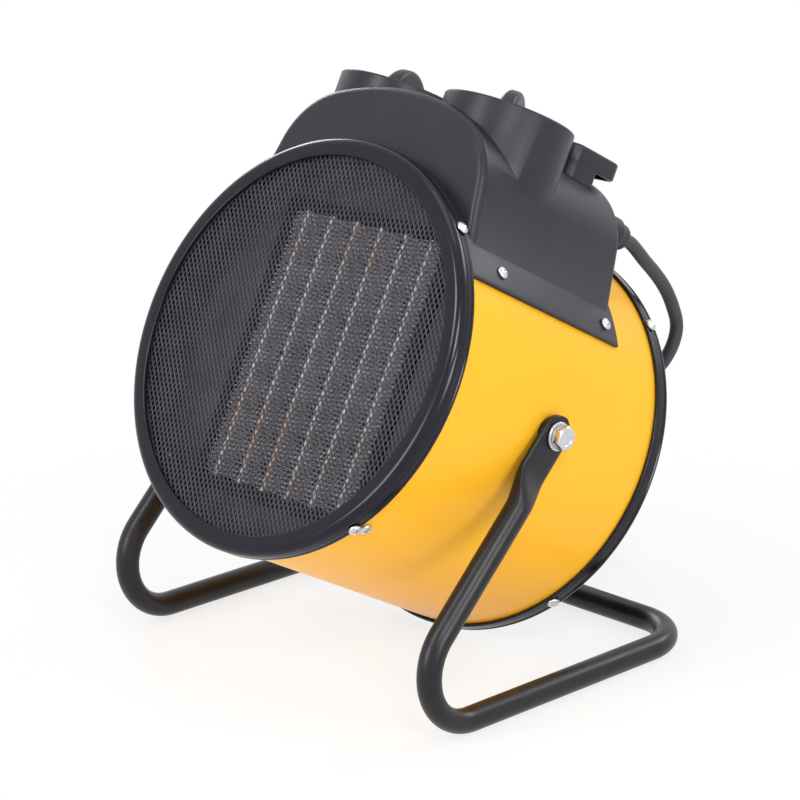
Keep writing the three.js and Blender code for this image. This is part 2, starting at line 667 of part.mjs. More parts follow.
function controlHousing() {
  const { rear, edge, wall } = housing;
  const front = housingFront;
  const low = 50;
  const wellOuter = wellPlaces.map(([x, y]) => turned([[0, 100], [well.radius, 100],
    [well.radius, wellRim - 1], [well.radius - 1, wellRim], [0, wellRim]], wellSides)
    .translate(x, y, 0));
  const outer = joined(alongY(archShape(0, low), -front, rear, edge, 3, 2), ...wellOuter)
    .subtract(solid(scoopTool(0)));
  const wellInner = wellPlaces.map(([x, y]) =>
    column(well.radius - well.wall, x, y, 90, wellFloor - wall, wellSides));
  const cavity = joined(alongY(archShape(wall, low - 10), wall - front, rear - wall, 0, 3),
    ...wellInner).subtract(solid(scoopTool(wall)));
  const roofOverWells = wellPlaces.map(([x, y]) =>
    column(well.radius - well.wall, x, y, wellFloor - wall, wellRim + 5, wellSides));
  const hollow = cavity.subtract(joined(...roofOverWells));
  const wells = wellPlaces.map(([x, y]) =>
    column(well.radius - well.wall, x, y, wellFloor, wellRim + 5, wellSides));
  const spindleHoles = wellPlaces.map(([x, y]) =>
    column(spindle.diameter / 2 + spindle.clear, x, y, wellFloor - 10, wellFloor + 5, 12));
  const drum = revolved([[0, -150], [drumRadius + seatGap, -150], [drumRadius + seatGap, 150],
    [0, 150]]).scale(1 / polygonShrink, 1, 1 / polygonShrink);
  const glandHole = rod(gland.neck / 2 + seatGap, new THREE.Vector3(gland.x, rear - 9, glandHeight),
    new THREE.Vector3(gland.x, rear + 9, glandHeight), 20);
  const shell = cut(outer.subtract(hollow), ...wells, ...spindleHoles, drum, glandHole);
  const foot = solid(housingFoot());
  const underRoof = solid(alongY(archShape(wall, low - 10), wall - front, rear - wall, 0, 3));
  const openFoot = foot.subtract(underRoof);
  return surface(cut(shell.add(openFoot), ...mirrored(housingScrewAngle).flatMap((a) =>
    housingScrews.map((d) => radialHole(a, d)))));
}

function carryHandle() {
  const { width, thickness, corner } = handle;
  const [front, rear] = [handleFront, handleRear];
  const plate = roundedRectangle(width, rear - front, corner, 0, (front + rear) / 2);
  const holeRear = front + handleHole.front + handleHole.depth;
  plate.holes.push(roundedRectangle(handleHole.width, handleHole.depth, handleHole.depth / 2.2, 0,
    holeRear - handleHole.depth / 2));
  const grip = roundedPrism(plate, handleTop - thickness, handleTop, 2.2, 2, 2);
  const posts = [1, -1].map((s) => {
    const x = s * (width / 2 - handlePost.width / 2 - 1);
    const outline = roundedRectangle(handlePost.width, handlePost.depth, 3, x,
      front + handlePost.depth / 2 + 1);
    return roundedPrism(outline, drumRadius + 8, handleTop - thickness / 2, 0, 1);
  });
  const roof = alongY(archShape(-seatGap, 50), -housingFront, housing.rear + 10, 0, 3);
  const inset = width / 2 - handlePocket.wall;
  const pocket = block(-inset, inset, holeRear + handlePocket.wall, rear - handlePocket.wall,
    handleTop - thickness - 1, handleTop - thickness + handlePocket.depth);
  return surface(cut(joined(grip, ...posts).subtract(solid(roof)), pocket));
}

// ---- Knobs, spindles and what they turn ----------------------------------------------

const knobFloor = wellFloor + knob.lift;

function controlKnob(turn) {
  const skirt = turned([[0, knobFloor], [knob.radius, knobFloor],
    [knob.radius, knobFloor + knob.skirt - 2], [knob.radius - 2.5, knobFloor + knob.skirt],
    [0, knobFloor + knob.skirt]], 24);
  const middle = drumRadius + knob.top - knob.gripRadius;
  const outline = new THREE.Shape();
  outline.moveTo(-knob.gripRadius, knobFloor + 3);
  outline.lineTo(knob.gripRadius, knobFloor + 3);
  outline.absarc(0, middle, knob.gripRadius, 0, Math.PI, false);
  outline.closePath();
  const grip = alongY(outline, -knob.grip / 2, knob.grip / 2, 3.5, 5, 2);
  const body = joined(skirt, grip.rotateZ(rad(turn)));
  return surface(cut(body, column(spindle.diameter / 2 + seatGap, 0, 0, knobFloor - 5,
    knobFloor + knob.bore + seatGap, 16)));
}

const spindleRod = () => column(spindle.diameter / 2, 0, 0, spindleBottom,
  knobFloor + knob.bore, 16);

// The box that a spindle turns in, hanging under a well's floor.
function spindleBox(round) {
  const top = wellFloor - housing.wall - seatGap;
  const { width, height, edge } = switchBody;
  const body = round
    ? turned([[0, top - height], [width / 2 - 1, top - height], [width / 2, top - height + 1],
      [width / 2, top - 1], [width / 2 - 1, top], [0, top]], 16)
    : roundedPrism(roundedRectangle(width, width, 3), top - height, top, edge, 2, 1);
  return surface(cut(solid(body), column(spindle.diameter / 2 + runGap, 0, 0,
    spindleBottom - runGap, top + 5, 16)));
}

// ---- Cable entry, cord and plug ------------------------------------------------------

function cableGland() {
  const y = housing.rear + seatGap;
  const [neck, nut, tip] = [gland.neck / 2, gland.nut / 2, gland.tip / 2];
  return revolved([[0, y - 12], [neck, y - 12], [neck, y], [nut, y], [nut, y + gland.nutLength],
    [nut - 1.2, y + gland.nutLength + 3.5], [tip + 1.6, y + gland.length - 2.5],
    [tip, y + gland.length], [0, y + gland.length]], 16).translate(gland.x, 0, glandHeight);
}

function glandLocknut() {
  const y = housing.rear - housing.wall - seatGap - locknut.height;
  const nut = solid(hexagon(locknut.across, locknut.height).translate(0, y, 0));
  return surface(cut(nut, rod(gland.neck / 2 + seatGap, new THREE.Vector3(0, y - 5, 0),
    new THREE.Vector3(0, y + 15, 0), 20))).translate(gland.x, 0, glandHeight);
}

function terminalBlock() {
  const low = drumRadius + seatGap + 0.3;
  const { width, depth, height, behind } = terminal;
  const body = solid(block(-width / 2, width / 2, behind - depth / 2, behind + depth / 2,
    low, low + height));
  const poles = [-1, 0, 1].map((i) => column(3.2, i * width * 0.3, behind, low + 3,
    low + height + 5, 12));
  return surface(cut(body, ...poles));
}

// From the tilted body's frame to the standing frame.
function standing(x, y, z) {
  return new THREE.Vector3(x, pivotY + y * tiltCos + z * tiltSin,
    pivotHeight - y * tiltSin + z * tiltCos);
}

const floorLine = cordDiameter / 2 + 0.2;
const coilStart = rad(coil.entry);
const outerRadius = coil.radius + coil.pitch * coil.turns / 4;

// Centre line of the coil: in towards the middle on the floor, up a layer while it turns
// back, out again on top, then off along the tangent to the plug.
function coilCentreLine(stepsPerTurn) {
  const climb = 0.5;
  const flatTurns = (coil.turns - climb) / 2;
  const points = [];
  const at = (turn) => {
    const angle = coilStart + 2 * Math.PI * turn;
    const inward = coil.turns / 2 - Math.abs(turn - coil.turns / 2);
    const share = THREE.MathUtils.clamp((turn - flatTurns) / climb, 0, 1);
    const radius = outerRadius - coil.pitch * inward;
    const height = floorLine + coil.layer * (1 - Math.cos(Math.PI * share)) / 2;
    return new THREE.Vector3(coil.x + radius * Math.cos(angle), coil.y + radius * Math.sin(angle),
      height);
  };
  const total = Math.round(coil.turns * stepsPerTurn);
  for (let i = 0; i <= total; i += 1) points.push(at(coil.turns * i / total));
  const entry = new THREE.Vector3(-Math.sin(coilStart), Math.cos(coilStart), 0);
  points[0].z = floorLine;
  points.unshift(points[0].clone().addScaledVector(entry, -cordDiameter));
  const endAngle = coilStart + 2 * Math.PI * coil.turns;
  const off = new THREE.Vector3(-Math.sin(endAngle), Math.cos(endAngle), 0);
  const leave = points.at(-1).clone();
  for (let i = 1; i <= 5; i += 1) {
    const share = Math.min(1, i / 4);
    const rise = coilTail.rise * (1 - Math.cos(Math.PI * share)) / 2;
    points.push(leave.clone().addScaledVector(off, coilTail.length * i / 5)
      .add(new THREE.Vector3(0, 0, rise)));
  }
  return points;
}

function stationsAlong(points) {
  return points.map((point, i) => {
    const before = points[Math.max(0, i - 1)];
    const after = points[Math.min(points.length - 1, i + 1)];
    return { point, tangent: after.clone().sub(before).normalize() };
  });
}

function tubeAlong(points, sides) {
  const frames = carriedFrames(stationsAlong(points), new THREE.Vector3(0, 0, 1));
  return lofted(frames.map((f) => Array.from({ length: sides }, (_, j) => {
    const angle = 2 * Math.PI * j / sides;
    return f.point.clone().addScaledVector(f.normal, Math.cos(angle) * cordDiameter / 2)
      .addScaledVector(f.side, Math.sin(angle) * cordDiameter / 2);
  })));
}

// Least clear distance between stretches of one centre line that aren't neighbours.
function leastSelfGap(points) {
  const line = new THREE.CatmullRomCurve3(points).getSpacedPoints(1200);
  const step = line[0].distanceTo(line[1]);
  const apart = Math.ceil(3 * cordDiameter / step);
  let least = Infinity;
  for (let i = 0; i < line.length; i += 1) {
    for (let j = i + apart; j < line.length; j += 1) {
      least = Math.min(least, line[i].distanceTo(line[j]));
    }
  }
  return least - cordDiameter;
}

const coilPoints = coilCentreLine(24);
console.log(`least gap inside the coil ${leastSelfGap(coilPoints).toFixed(2)} mm`);

// The free stretch, by hand: out of the gland, round and down behind the drum, then along
// the floor to the coil. Each point is [x, behind the pivot axis, above the floor].
const leadRoute = [
  [60.5, 151, 221.5], [60, 159.3, 214], [60, 166, 207], [60, 172, 199.5], [60, 176.6, 192],
  [60, 180, 185], [60, 182.6, 178], [60, 182.9, 171.5], [59.5, 181.5, 165], [58, 179.5, 158.5],
  [54.5, 178, 151.5], [47, 177.5, 142], [39, 178.5, 130], [31, 180.5, 115], [24, 183, 97],
  [17, 185.5, 78], [11, 186.5, 58], [5, 189, 39], [-3, 193.5, 22], [-12, 200, 10.5],
  [-22, 208.5, 5.2],
];

function leadCentreLine() {
  const glandEnd = housing.rear + gland.length + 2 * seatGap;
  const start = standing(gland.x, glandEnd, glandHeight);
  const out = standing(gland.x, glandEnd + cordDiameter, glandHeight);
  const end = coilPoints[0];
  const entry = coilPoints[1].clone().sub(end).normalize();
  const route = leadRoute.map(([x, behind, z]) => new THREE.Vector3(x, pivotY + behind, z));
  const landing = end.clone().addScaledVector(entry, -seatGap);
  return new THREE.CatmullRomCurve3([start, out, ...route,
    landing.clone().addScaledVector(entry, -cordDiameter * 1.6), landing], false, 'centripetal');
}

function leadTube() {
  const section = new THREE.Shape();
  for (let i = 0; i < 8; i += 1) {
    const angle = 2 * Math.PI * (i + 0.5) / 8;
    const [u, v] = [Math.cos(angle), Math.sin(angle)].map((c) => c * cordDiameter / 2);
    if (i === 0) section.moveTo(u, v);
    else section.lineTo(u, v);
  }
  section.closePath();
  return new THREE.ExtrudeGeometry(section, {
    steps: 26, extrudePath: leadCentreLine(), bevelEnabled: false,
  });
}

// Where the plug lies: its cable end at the coil's tail, its face further on.
function plugFrame() {
  const end = coilPoints.at(-1);
  const along = end.clone().sub(coilPoints.at(-2)).normalize();
  const group = new THREE.Group();
  group.position.copy(end).addScaledVector(along, seatGap);
  group.quaternion.setFromUnitVectors(new THREE.Vector3(0, 1, 0), along);
  return group;
}

function plugBody() {
  const { radius, length, face } = plug;
  const body = solid(revolved([[0, 0], [5.6, 0], [6.6, 3], [8.4, 16], [12.5, 23],
    [radius - 2.2, length - face], [radius, length - face + 2.5], [radius, length - 1],
    [radius - 1, length], [0, length]], 16));
  const sockets = [1, -1].map((s) => rod(plugPin.diameter / 2 + seatGap,
    new THREE.Vector3(s * plugPin.spacing / 2, length - plugPin.root - seatGap, 0),
    new THREE.Vector3(s * plugPin.spacing / 2, length + 5, 0), 10));
  return surface(cut(body, ...sockets));
}

function plugPinRod(side) {
  const r = plugPin.diameter / 2;
  const [y0, y1] = [plug.length - plugPin.root, plug.length + plugPin.length];
  return revolved([[0, y0], [r, y0], [r, y1 - 1.6], [r - 1, y1 - 0.3], [0, y1]], 12)
    .translate(side * plugPin.spacing / 2, 0, 0);
}

// ---- Fasteners -----------------------------------------------------------------------

// A pan-head screw driven towards the drum's axis, its head on a surface of seat radius.
function radialScrew(seat, angle, ahead) {
  const [h, s] = [screw.head / 2, screw.shank / 2];
  const body = turned([[0, -screw.length], [s, -screw.length + 2], [s, 0], [h, 0],
    [h, screw.rise * 0.4], [h * 0.66, screw.rise * 0.93], [0, screw.rise]], 8);
  const place = drumPoint(seat + seatGap, angle, ahead);
  return body.rotateY(rad(angle)).translate(...place);
}

function pivotBolt(side) {
  const seat = earOuter + washer.thickness + 2 * seatGap;
  const head = hexagon(boltHead.across, boltHead.height).rotateZ(-Math.PI / 2)
    .translate(seat, 0, 0);
  const nutEnd = drumBore - seatGap - boltNut.height;
  const shank = rod(boltSize / 2, new THREE.Vector3(nutEnd - 5, 0, 0),
    new THREE.Vector3(seat + 0.5, 0, 0), 20);
  const bolt = surface(joined(head, shank));
  return side > 0 ? bolt : bolt.rotateZ(Math.PI);
}

function sideways(geometry, side) {
  return side > 0 ? geometry.rotateZ(-Math.PI / 2) : geometry.rotateZ(Math.PI / 2);
}

// A flat ring on the bolt, from a distance out from the drum's axis.
function pivotDisc({ diameter, thickness }, from, side) {
  const [r, bore] = [diameter / 2, boltSize / 2 + seatGap];
  return sideways(revolved(ringOf([[bore, from], [r, from], [r, from + thickness],
    [bore, from + thickness]]), 16), side);
}

function pivotNut(side) {
  const y = drumBore - seatGap - boltNut.height;
  const nut = solid(hexagon(boltNut.across, boltNut.height).translate(0, y, 0));
  const bored = cut(nut, rod(boltSize / 2 + seatGap, new THREE.Vector3(0, y - 5, 0),
    new THREE.Vector3(0, y + 15, 0), 20));
  const bore = solid(rod(boreClear, new THREE.Vector3(-20, 0, 0),
    new THREE.Vector3(20, 0, 0), 120));
  return sideways(surface(bored.intersect(bore)), side);
}

// ---- Assembly ------------------------------------------------------------------------

const finishes = {
  yellowPaint: [0xf2a51c, 0.3, 0.1],
  blackPaint: [0x1b1b1c, 0.45, 0.3],
  blackPlastic: [0x2c2b2c, 0.55, 0],
  zinc: [0xb9bcc0, 0.35, 0.9],
  steel: [0x8d8f92, 0.45, 0.8],
  aluminium: [0xa9a49c, 0.4, 0.85],
  insulator: [0x3a3836, 0.8, 0],
  rubber: [0x262526, 0.7, 0],
  brass: [0xb99a55, 0.35, 0.9],
};

function piece(parent, name, geometry, finish) {
  const [color, roughness, metalness] = finishes[finish];
  const mesh = new THREE.Mesh(geometry,
    new THREE.MeshStandardMaterial({ name: finish, color, roughness, metalness }));
  mesh.name = name;
  parent.add(mesh);
  return mesh;
}

const heater = new THREE.Group();
const body = new THREE.Group();
body.position.set(0, pivotY, pivotHeight);
body.rotation.x = -rad(tiltAngle);
heater.add(body);

piece(heater, 'stand_tube', standTube(), 'blackPaint');

for (const [side, word] of [[1, 'right'], [-1, 'left']]) {
  piece(body, `pivot_bolt_${word}`, pivotBolt(side), 'zinc');
  piece(body, `pivot_washer_${word}`, pivotDisc(washer, earOuter + seatGap, side), 'zinc');
  piece(body, `pivot_spacer_${word}`, pivotDisc(spacer, drumRadius + seatGap, side), 'insulator');
  piece(body, `pivot_nut_${word}`, pivotNut(side), 'zinc');
}

piece(body, 'drum_shell', drumShell(), 'yellowPaint');
piece(body, 'front_ring', ring(frontRing, frontScrewAhead), 'blackPaint');
piece(body, 'rear_ring', ring(rearRing, rearScrewAhead), 'blackPaint');
piece(body, 'front_grille', meshDisc(1, -faceAhead + frontRing.sheet + seatGap), 'blackPaint');
piece(body, 'rear_grille',
  meshDisc(rearMeshScale, faceBehind - rearRing.sheet - seatGap - meshSheet), 'blackPaint');

ringScrewAngles.forEach((angle, i) => {
  piece(body, `front_ring_screw_${i + 1}`, radialScrew(frontRingRadius, angle, frontScrewAhead),
    'zinc');
  piece(body, `rear_ring_screw_${i + 1}`, radialScrew(rearRingRadius, angle, rearScrewAhead),
    'zinc');
});

piece(body, 'baffle_plate', bafflePlate(), 'blackPaint');
mirrored(baffleScrewAngle).forEach((angle, i) => piece(body, `baffle_screw_${i + 1}`,
  radialScrew(drumRadius, angle, baffleScrewAhead), 'zinc'));
piece(body, 'element_core', elementCore(), 'aluminium');
piece(body, 'element_frame', elementSurround(), 'insulator');
piece(body, 'thermal_cutout', thermalCutout(), 'insulator');

piece(body, 'fan_motor', motorCan(), 'steel');
piece(body, 'motor_bracket', motorBracket(), 'steel');
piece(body, 'motor_shaft', motorShaft(), 'steel');
piece(body, 'fan_impeller', fanImpeller(), 'blackPlastic');
piece(body, 'impeller_nut', impellerNut(), 'zinc');

piece(body, 'control_housing', controlHousing(), 'blackPlastic');
const housingScrewPlaces = mirrored(housingScrewAngle)
  .flatMap((angle) => housingScrews.map((ahead) => [angle, ahead]));
housingScrewPlaces.forEach(([angle, ahead], i) => piece(body, `housing_screw_${i + 1}`,
  radialScrew(drumRadius + seatGap + housing.flange, angle, ahead), 'zinc'));
piece(body, 'carry_handle', carryHandle(), 'blackPlastic');

for (const [word, x, turn, round] of [['thermostat', well.x, knobTurn.right, true],
  ['mode', -well.x, knobTurn.left, false]]) {
  const places = [
    piece(body, `${word}_knob`, controlKnob(turn), 'blackPlastic'),
    piece(body, `${word}_spindle`, spindleRod(), 'steel'),
    piece(body, round ? 'thermostat_body' : 'rotary_switch', spindleBox(round), 'insulator'),
  ];
  for (const mesh of places) mesh.position.set(x, -wellAhead, 0);
}

piece(body, 'cable_gland', cableGland(), 'blackPlastic');
piece(body, 'gland_locknut', glandLocknut(), 'blackPlastic');
piece(body, 'terminal_block', terminalBlock(), 'insulator');

piece(heater, 'cord_lead', leadTube(), 'rubber');
piece(heater, 'cord_coil', tubeAlong(coilPoints, 6), 'rubber');
const plugGroup = plugFrame();
heater.add(plugGroup);
piece(plugGroup, 'plug_body', plugBody(), 'rubber');
piece(plugGroup, 'plug_pin_1', plugPinRod(1), 'brass');
piece(plugGroup, 'plug_pin_2', plugPinRod(-1), 'brass');

console.log(`cord: lead ${leadCentreLine().getLength().toFixed(0)} mm, coil ${
  new THREE.CatmullRomCurve3(coilPoints).getLength().toFixed(0)} mm`);

export default heater;
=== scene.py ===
"""Looks of a forced air heater: a yellow drum that tilts between the legs of a bent-tube stand.

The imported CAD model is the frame. Pieces on the tilting body are drawn level, in millimetres,
with the drum along Y and the tilt axis at the origin, and TILTED puts them in place.
"""

import json
import math

import bmesh
import bpy
import numpy as np
from mathutils import Matrix, Quaternion, Vector


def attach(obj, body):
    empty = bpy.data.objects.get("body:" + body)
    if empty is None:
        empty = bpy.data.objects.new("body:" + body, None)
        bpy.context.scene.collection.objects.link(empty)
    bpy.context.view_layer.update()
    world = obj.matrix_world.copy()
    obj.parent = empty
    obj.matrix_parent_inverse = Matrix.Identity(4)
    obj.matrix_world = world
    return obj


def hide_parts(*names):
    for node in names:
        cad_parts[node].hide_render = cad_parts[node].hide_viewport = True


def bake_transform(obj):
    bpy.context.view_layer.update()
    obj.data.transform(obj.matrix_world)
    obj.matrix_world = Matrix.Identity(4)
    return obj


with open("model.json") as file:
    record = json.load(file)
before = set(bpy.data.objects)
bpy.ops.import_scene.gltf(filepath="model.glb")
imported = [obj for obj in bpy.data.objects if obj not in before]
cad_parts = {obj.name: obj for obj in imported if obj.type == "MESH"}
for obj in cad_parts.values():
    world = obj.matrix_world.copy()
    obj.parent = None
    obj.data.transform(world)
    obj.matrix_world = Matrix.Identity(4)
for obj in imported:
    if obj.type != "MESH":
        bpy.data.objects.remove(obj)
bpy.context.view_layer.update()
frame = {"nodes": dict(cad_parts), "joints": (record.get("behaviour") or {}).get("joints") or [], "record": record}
nodes = frame["nodes"]

MM = 0.001
PIVOT = Vector(next(j for j in frame["joints"] if j["name"] == "tilt")["pos_m"])
TILT = math.radians(28)
FLOOR = Matrix.Scale(MM, 4)
TILTED = Matrix.Translation(PIVOT) @ Matrix.Rotation(-TILT, 4, "X") @ FLOOR

# ---- Sizes shared with the CAD, in millimetres ----

GAP = 0.3
DRUM_R, DRUM_WALL = 121.5, 1.2
FACE_AHEAD, FACE_BEHIND = 99.5, 103.0  # the rings' faces, from the tilt axis
FRONT_RING_LENGTH, REAR_RING_LENGTH = 12.5, 12
FRONT_RING_SHEET, REAR_RING_SHEET = 2.2, 2
GUARD_THICK = 1.4
TUBE_R = 7.5
LEG_X = DRUM_R + 1.3 + TUBE_R
CROSSBAR_BEHIND = 119.7
EAR_THICK, EAR_WIDTH, EAR_REACH, EAR_LENGTH, EAR_BLEND = 4.4, 22.6, 12, 24, 26
SPACER_THICK = WASHER_THICK = 1.6
EAR_INSIDE = DRUM_R + SPACER_THICK + 2 * GAP
EAR_OUTSIDE = EAR_INSIDE + EAR_THICK
BOLT_SEAT = EAR_OUTSIDE + WASHER_THICK + 2 * GAP
HOUSE_FRONT, HOUSE_REAR, HOUSE_EDGE, HOUSE_WALL = 82.0, 51.5, 5.0, 2.6
HOUSE_ROOF, HOUSE_CORNER = DRUM_R + 41, 48
HOUSE_LEAN = math.radians(12.5)
FOOT_ANGLE, FOOT_SHEET = 58.5, 2.2
WELL_X, WELL_R, WELL_WALL = 43.5, 39.8, 2.8
WELL_AHEAD = HOUSE_FRONT - 6.7 - WELL_R
WELL_RIM, WELL_FLOOR = DRUM_R + 48, DRUM_R + 27.5
SCOOP_FROM, SCOOP_FLOOR = WELL_R - WELL_AHEAD + 3.7, DRUM_R + 19.5
HANDLE_FRONT = SCOOP_FROM + 1
GLAND_X, GLAND_Z, GLAND_LENGTH = 60.9, DRUM_R + 10.5, 24
ELEMENT_W, ELEMENT_H, ELEMENT_DEPTH = 124.0, 166.0, 15.0
ELEMENT_FRONT, ELEMENT_MIDDLE = -70.0, -1.5
CORD_D = 8.4
PIN_X = 9.5


# ---- Geometry ----

def mesh_object(name, verts, faces, matrix):
    mesh = bpy.data.meshes.new(name)
    mesh.from_pydata([tuple(v) for v in verts], [], faces)
    mesh.transform(matrix)
    obj = bpy.data.objects.new(name, mesh)
    bpy.context.scene.collection.objects.link(obj)
    face_outwards(obj)
    return obj


def face_outwards(obj):
    bm = bmesh.new()
    bm.from_mesh(obj.data)
    bmesh.ops.remove_doubles(bm, verts=bm.verts, dist=1e-7)
    bmesh.ops.recalc_face_normals(bm, faces=bm.faces)
    bm.to_mesh(obj.data)
    bm.free()


def apply_modifiers(obj):
    bpy.context.view_layer.update()
    depsgraph = bpy.context.evaluated_depsgraph_get()
    mesh = bpy.data.meshes.new_from_object(obj.evaluated_get(depsgraph))
    obj.modifiers.clear()
    obj.data = mesh
    return obj


def bevel(obj, width, segments, angle):
    mod = obj.modifiers.new("bevel", "BEVEL")
    mod.width = width * MM
    mod.segments = segments
    mod.limit_method = "ANGLE"
    mod.angle_limit = math.radians(angle)
    return apply_modifiers(obj)


def boolean(obj, operation, *tools):
    for tool in tools:
        mod = obj.modifiers.new("boolean", "BOOLEAN")
        mod.operation = operation
        mod.solver = "EXACT"
        mod.object = tool
        apply_modifiers(obj)
        bpy.data.objects.remove(tool)
    return obj


def fillet(points, closed=True, steps=5):
    """A polyline's corners (x, y, radius) as points, each corner rounded by its radius."""
    out = []
    count = len(points)
    for i, (x, y, radius) in enumerate(points):
        here = Vector((x, y))
        if radius <= 0 or (not closed and i in (0, count - 1)):
            out.append((x, y))
            continue
        before = (Vector(points[i - 1][:2]) - here).normalized()
        after = (Vector(points[(i + 1) % count][:2]) - here).normalized()
        half = before.angle(after) / 2
        centre = here + (before + after).normalized() * radius / math.sin(half)
        start = here + before * radius / math.tan(half) - centre
        end = here + after * radius / math.tan(half) - centre
        for k in range(steps + 1):
            arm = start.slerp(end, k / steps)
            out.append(tuple(centre + arm.normalized() * radius))
    return out


def arc(x, y, radius, start, end, steps):
    """Points on a circle round (x, y), from one angle to the other."""
    return [(x + radius * math.cos(a), y + radius * math.sin(a))
            for a in (start + (end - start) * k / steps for k in range(steps + 1))]


def lathe(name, profile, sides, matrix=TILTED):
    """Turns a closed outline of (radius, y) points about the Y axis."""
    verts, rings, faces = [], [], []
    for r, y in profile:
        if r < 1e-6:
            rings.append([len(verts)] * sides)
            verts.append((0, y, 0))
            continue
        rings.append(list(range(len(verts), len(verts) + sides)))
        for k in range(sides):
            a = 2 * math.pi * k / sides
            verts.append((r * math.sin(a), y, r * math.cos(a)))
    for low, high in zip(rings, rings[1:] + rings[:1]):
        for k in range(sides):
            m = (k + 1) % sides
            corners = [low[k], low[m], high[m], high[k]]
            face = [c for i, c in enumerate(corners) if c != corners[i - 1]]
            if len(face) > 2:
                faces.append(face)
    return mesh_object(name, verts, faces, matrix)


def loft(name, rows, matrix):
    """Skins closed rows of the same count and caps both ends."""
    sides = len(rows[0])
    verts = [p for row in rows for p in row]
    faces = []
    for i in range(len(rows) - 1):
        for j in range(sides):
            a, b = i * sides + j, i * sides + (j + 1) % sides
            faces.append([a, b, b + sides, a + sides])
    last = (len(rows) - 1) * sides
    faces += [list(range(sides))[::-1], list(range(last, last + sides))]
    return mesh_object(name, verts, faces, matrix)


def prism(name, outline, z0, z1, matrix=TILTED):
    """Stands an (x, y) outline between two heights."""
    return loft(name, [[(x, y, z) for x, y in outline] for z in (z0, z1)], matrix)


def prism_along_y(name, outline, y0, y1, matrix=TILTED):
    """Lays an (x, z) outline between two places along Y."""
    return loft(name, [[(x, y, z) for x, z in outline] for y in (y0, y1)], matrix)


def rod(radius, low, high):
    """The profile of a solid cylinder."""
    return [(0, low), (radius, low), (radius, high), (0, high)]


def rounded_box(x0, x1, y0, y1, radius, steps=6):
    return fillet([(x0, y0, radius), (x1, y0, radius), (x1, y1, radius), (x0, y1, radius)],
                  steps=steps)


def sweep(name, points, radius, sides=16):
    """A round bar along a line, on the floor's axes, carried along it without twist."""
    last = len(points) - 1
    tangents = [(points[min(last, i + 1)] - points[max(0, i - 1)]).normalized()
                for i in range(last + 1)]
    normal = Vector((0, 0, 1))
    rows = []
    for i, (p, t) in enumerate(zip(points, tangents)):
        if i:
            normal = tangents[i - 1].rotation_difference(t) @ normal
        normal = (normal - t * normal.dot(t)).normalized()
        side = t.cross(normal)
        rows.append([p + (normal * math.cos(a) + side * math.sin(a)) * radius
                     for a in (2 * math.pi * j / sides for j in range(sides))])
    return loft(name, rows, FLOOR)


def smoothstep(x, low, high):
    t = min(1.0, max(0.0, (x - low) / (high - low)))
    return t * t * (3 - 2 * t)


# ---- Materials ----

WHITE = (1, 1, 1, 1)


def fill(tree, node, inputs):
    """Sets a node's inputs, each to a value or to another node's output."""
    for key, value in inputs.items():
        if isinstance(value, bpy.types.NodeSocket):
            tree.links.new(value, node.inputs[key])
        else:
            node.inputs[key].default_value = value
    return node


def add(tree, kind, inputs, **settings):
    """Adds a shader node with its settings and inputs."""
    node = tree.nodes.new("ShaderNode" + kind)
    for key, value in settings.items():
        setattr(node, key, value)
    return fill(tree, node, inputs)


def material(name, colour, roughness, metallic=0.0, *, grain, variation, stain=None,
             specular=0.5):
    """A procedural surface: grain (scale per metre, strength, depth in mm, stretch) is its
    bump, variation (scale, share) its uneven tone and gloss, stain (scale, share, colour)
    patches of another colour."""
    mat = bpy.data.materials.new(name)
    mat.use_nodes = True
    tree = mat.node_tree
    shader = fill(tree, tree.nodes["Principled BSDF"], {
        "Base Color": (*colour, 1), "Roughness": roughness, "Metallic": metallic,
        "Specular IOR Level": specular})
    coords = add(tree, "TexCoord", {}).outputs["Object"]

    def noise(scale, detail=4.0, stretch=None):
        source = coords
        if stretch:
            source = add(tree, "Mapping", {"Vector": coords, "Scale": stretch}).outputs["Vector"]
        inputs = {"Vector": source, "Scale": scale, "Detail": detail}
        return add(tree, "TexNoise", inputs).outputs["Fac"]

    def ramp(source, low, high, out_low, out_high):
        inputs = {"Value": source, "From Min": low, "From Max": high, "To Min": out_low,
                  "To Max": out_high}
        return add(tree, "MapRange", inputs).outputs["Result"]

    def mix(factor, first, second):
        inputs = {"Factor": factor, 6: first, 7: second}  # 6 and 7 take the two colours
        return add(tree, "Mix", inputs, data_type="RGBA").outputs[2]

    scale, share = variation
    source = noise(scale)
    dark = tuple(c * (1 - share) for c in colour)
    pale = tuple(min(1, c * (1 + share)) for c in colour)
    tone = mix(ramp(source, 0.35, 0.65, 0, 1), (*dark, 1), (*pale, 1))
    gloss = ramp(source, 0.3, 0.7, roughness * 0.85, min(1, roughness * 1.15))
    if stain:
        scale, share, stained = stain
        tone = mix(ramp(noise(scale), 0.53, 0.62, 0, share), tone, (*stained, 1))
    scale, strength, depth, *stretch = grain
    bump = add(tree, "Bump", {"Strength": strength, "Distance": depth * MM,
                              "Height": noise(scale, 3, *stretch)})
    fill(tree, shader, {"Base Color": tone, "Roughness": gloss, "Normal": bump.outputs["Normal"]})
    return mat


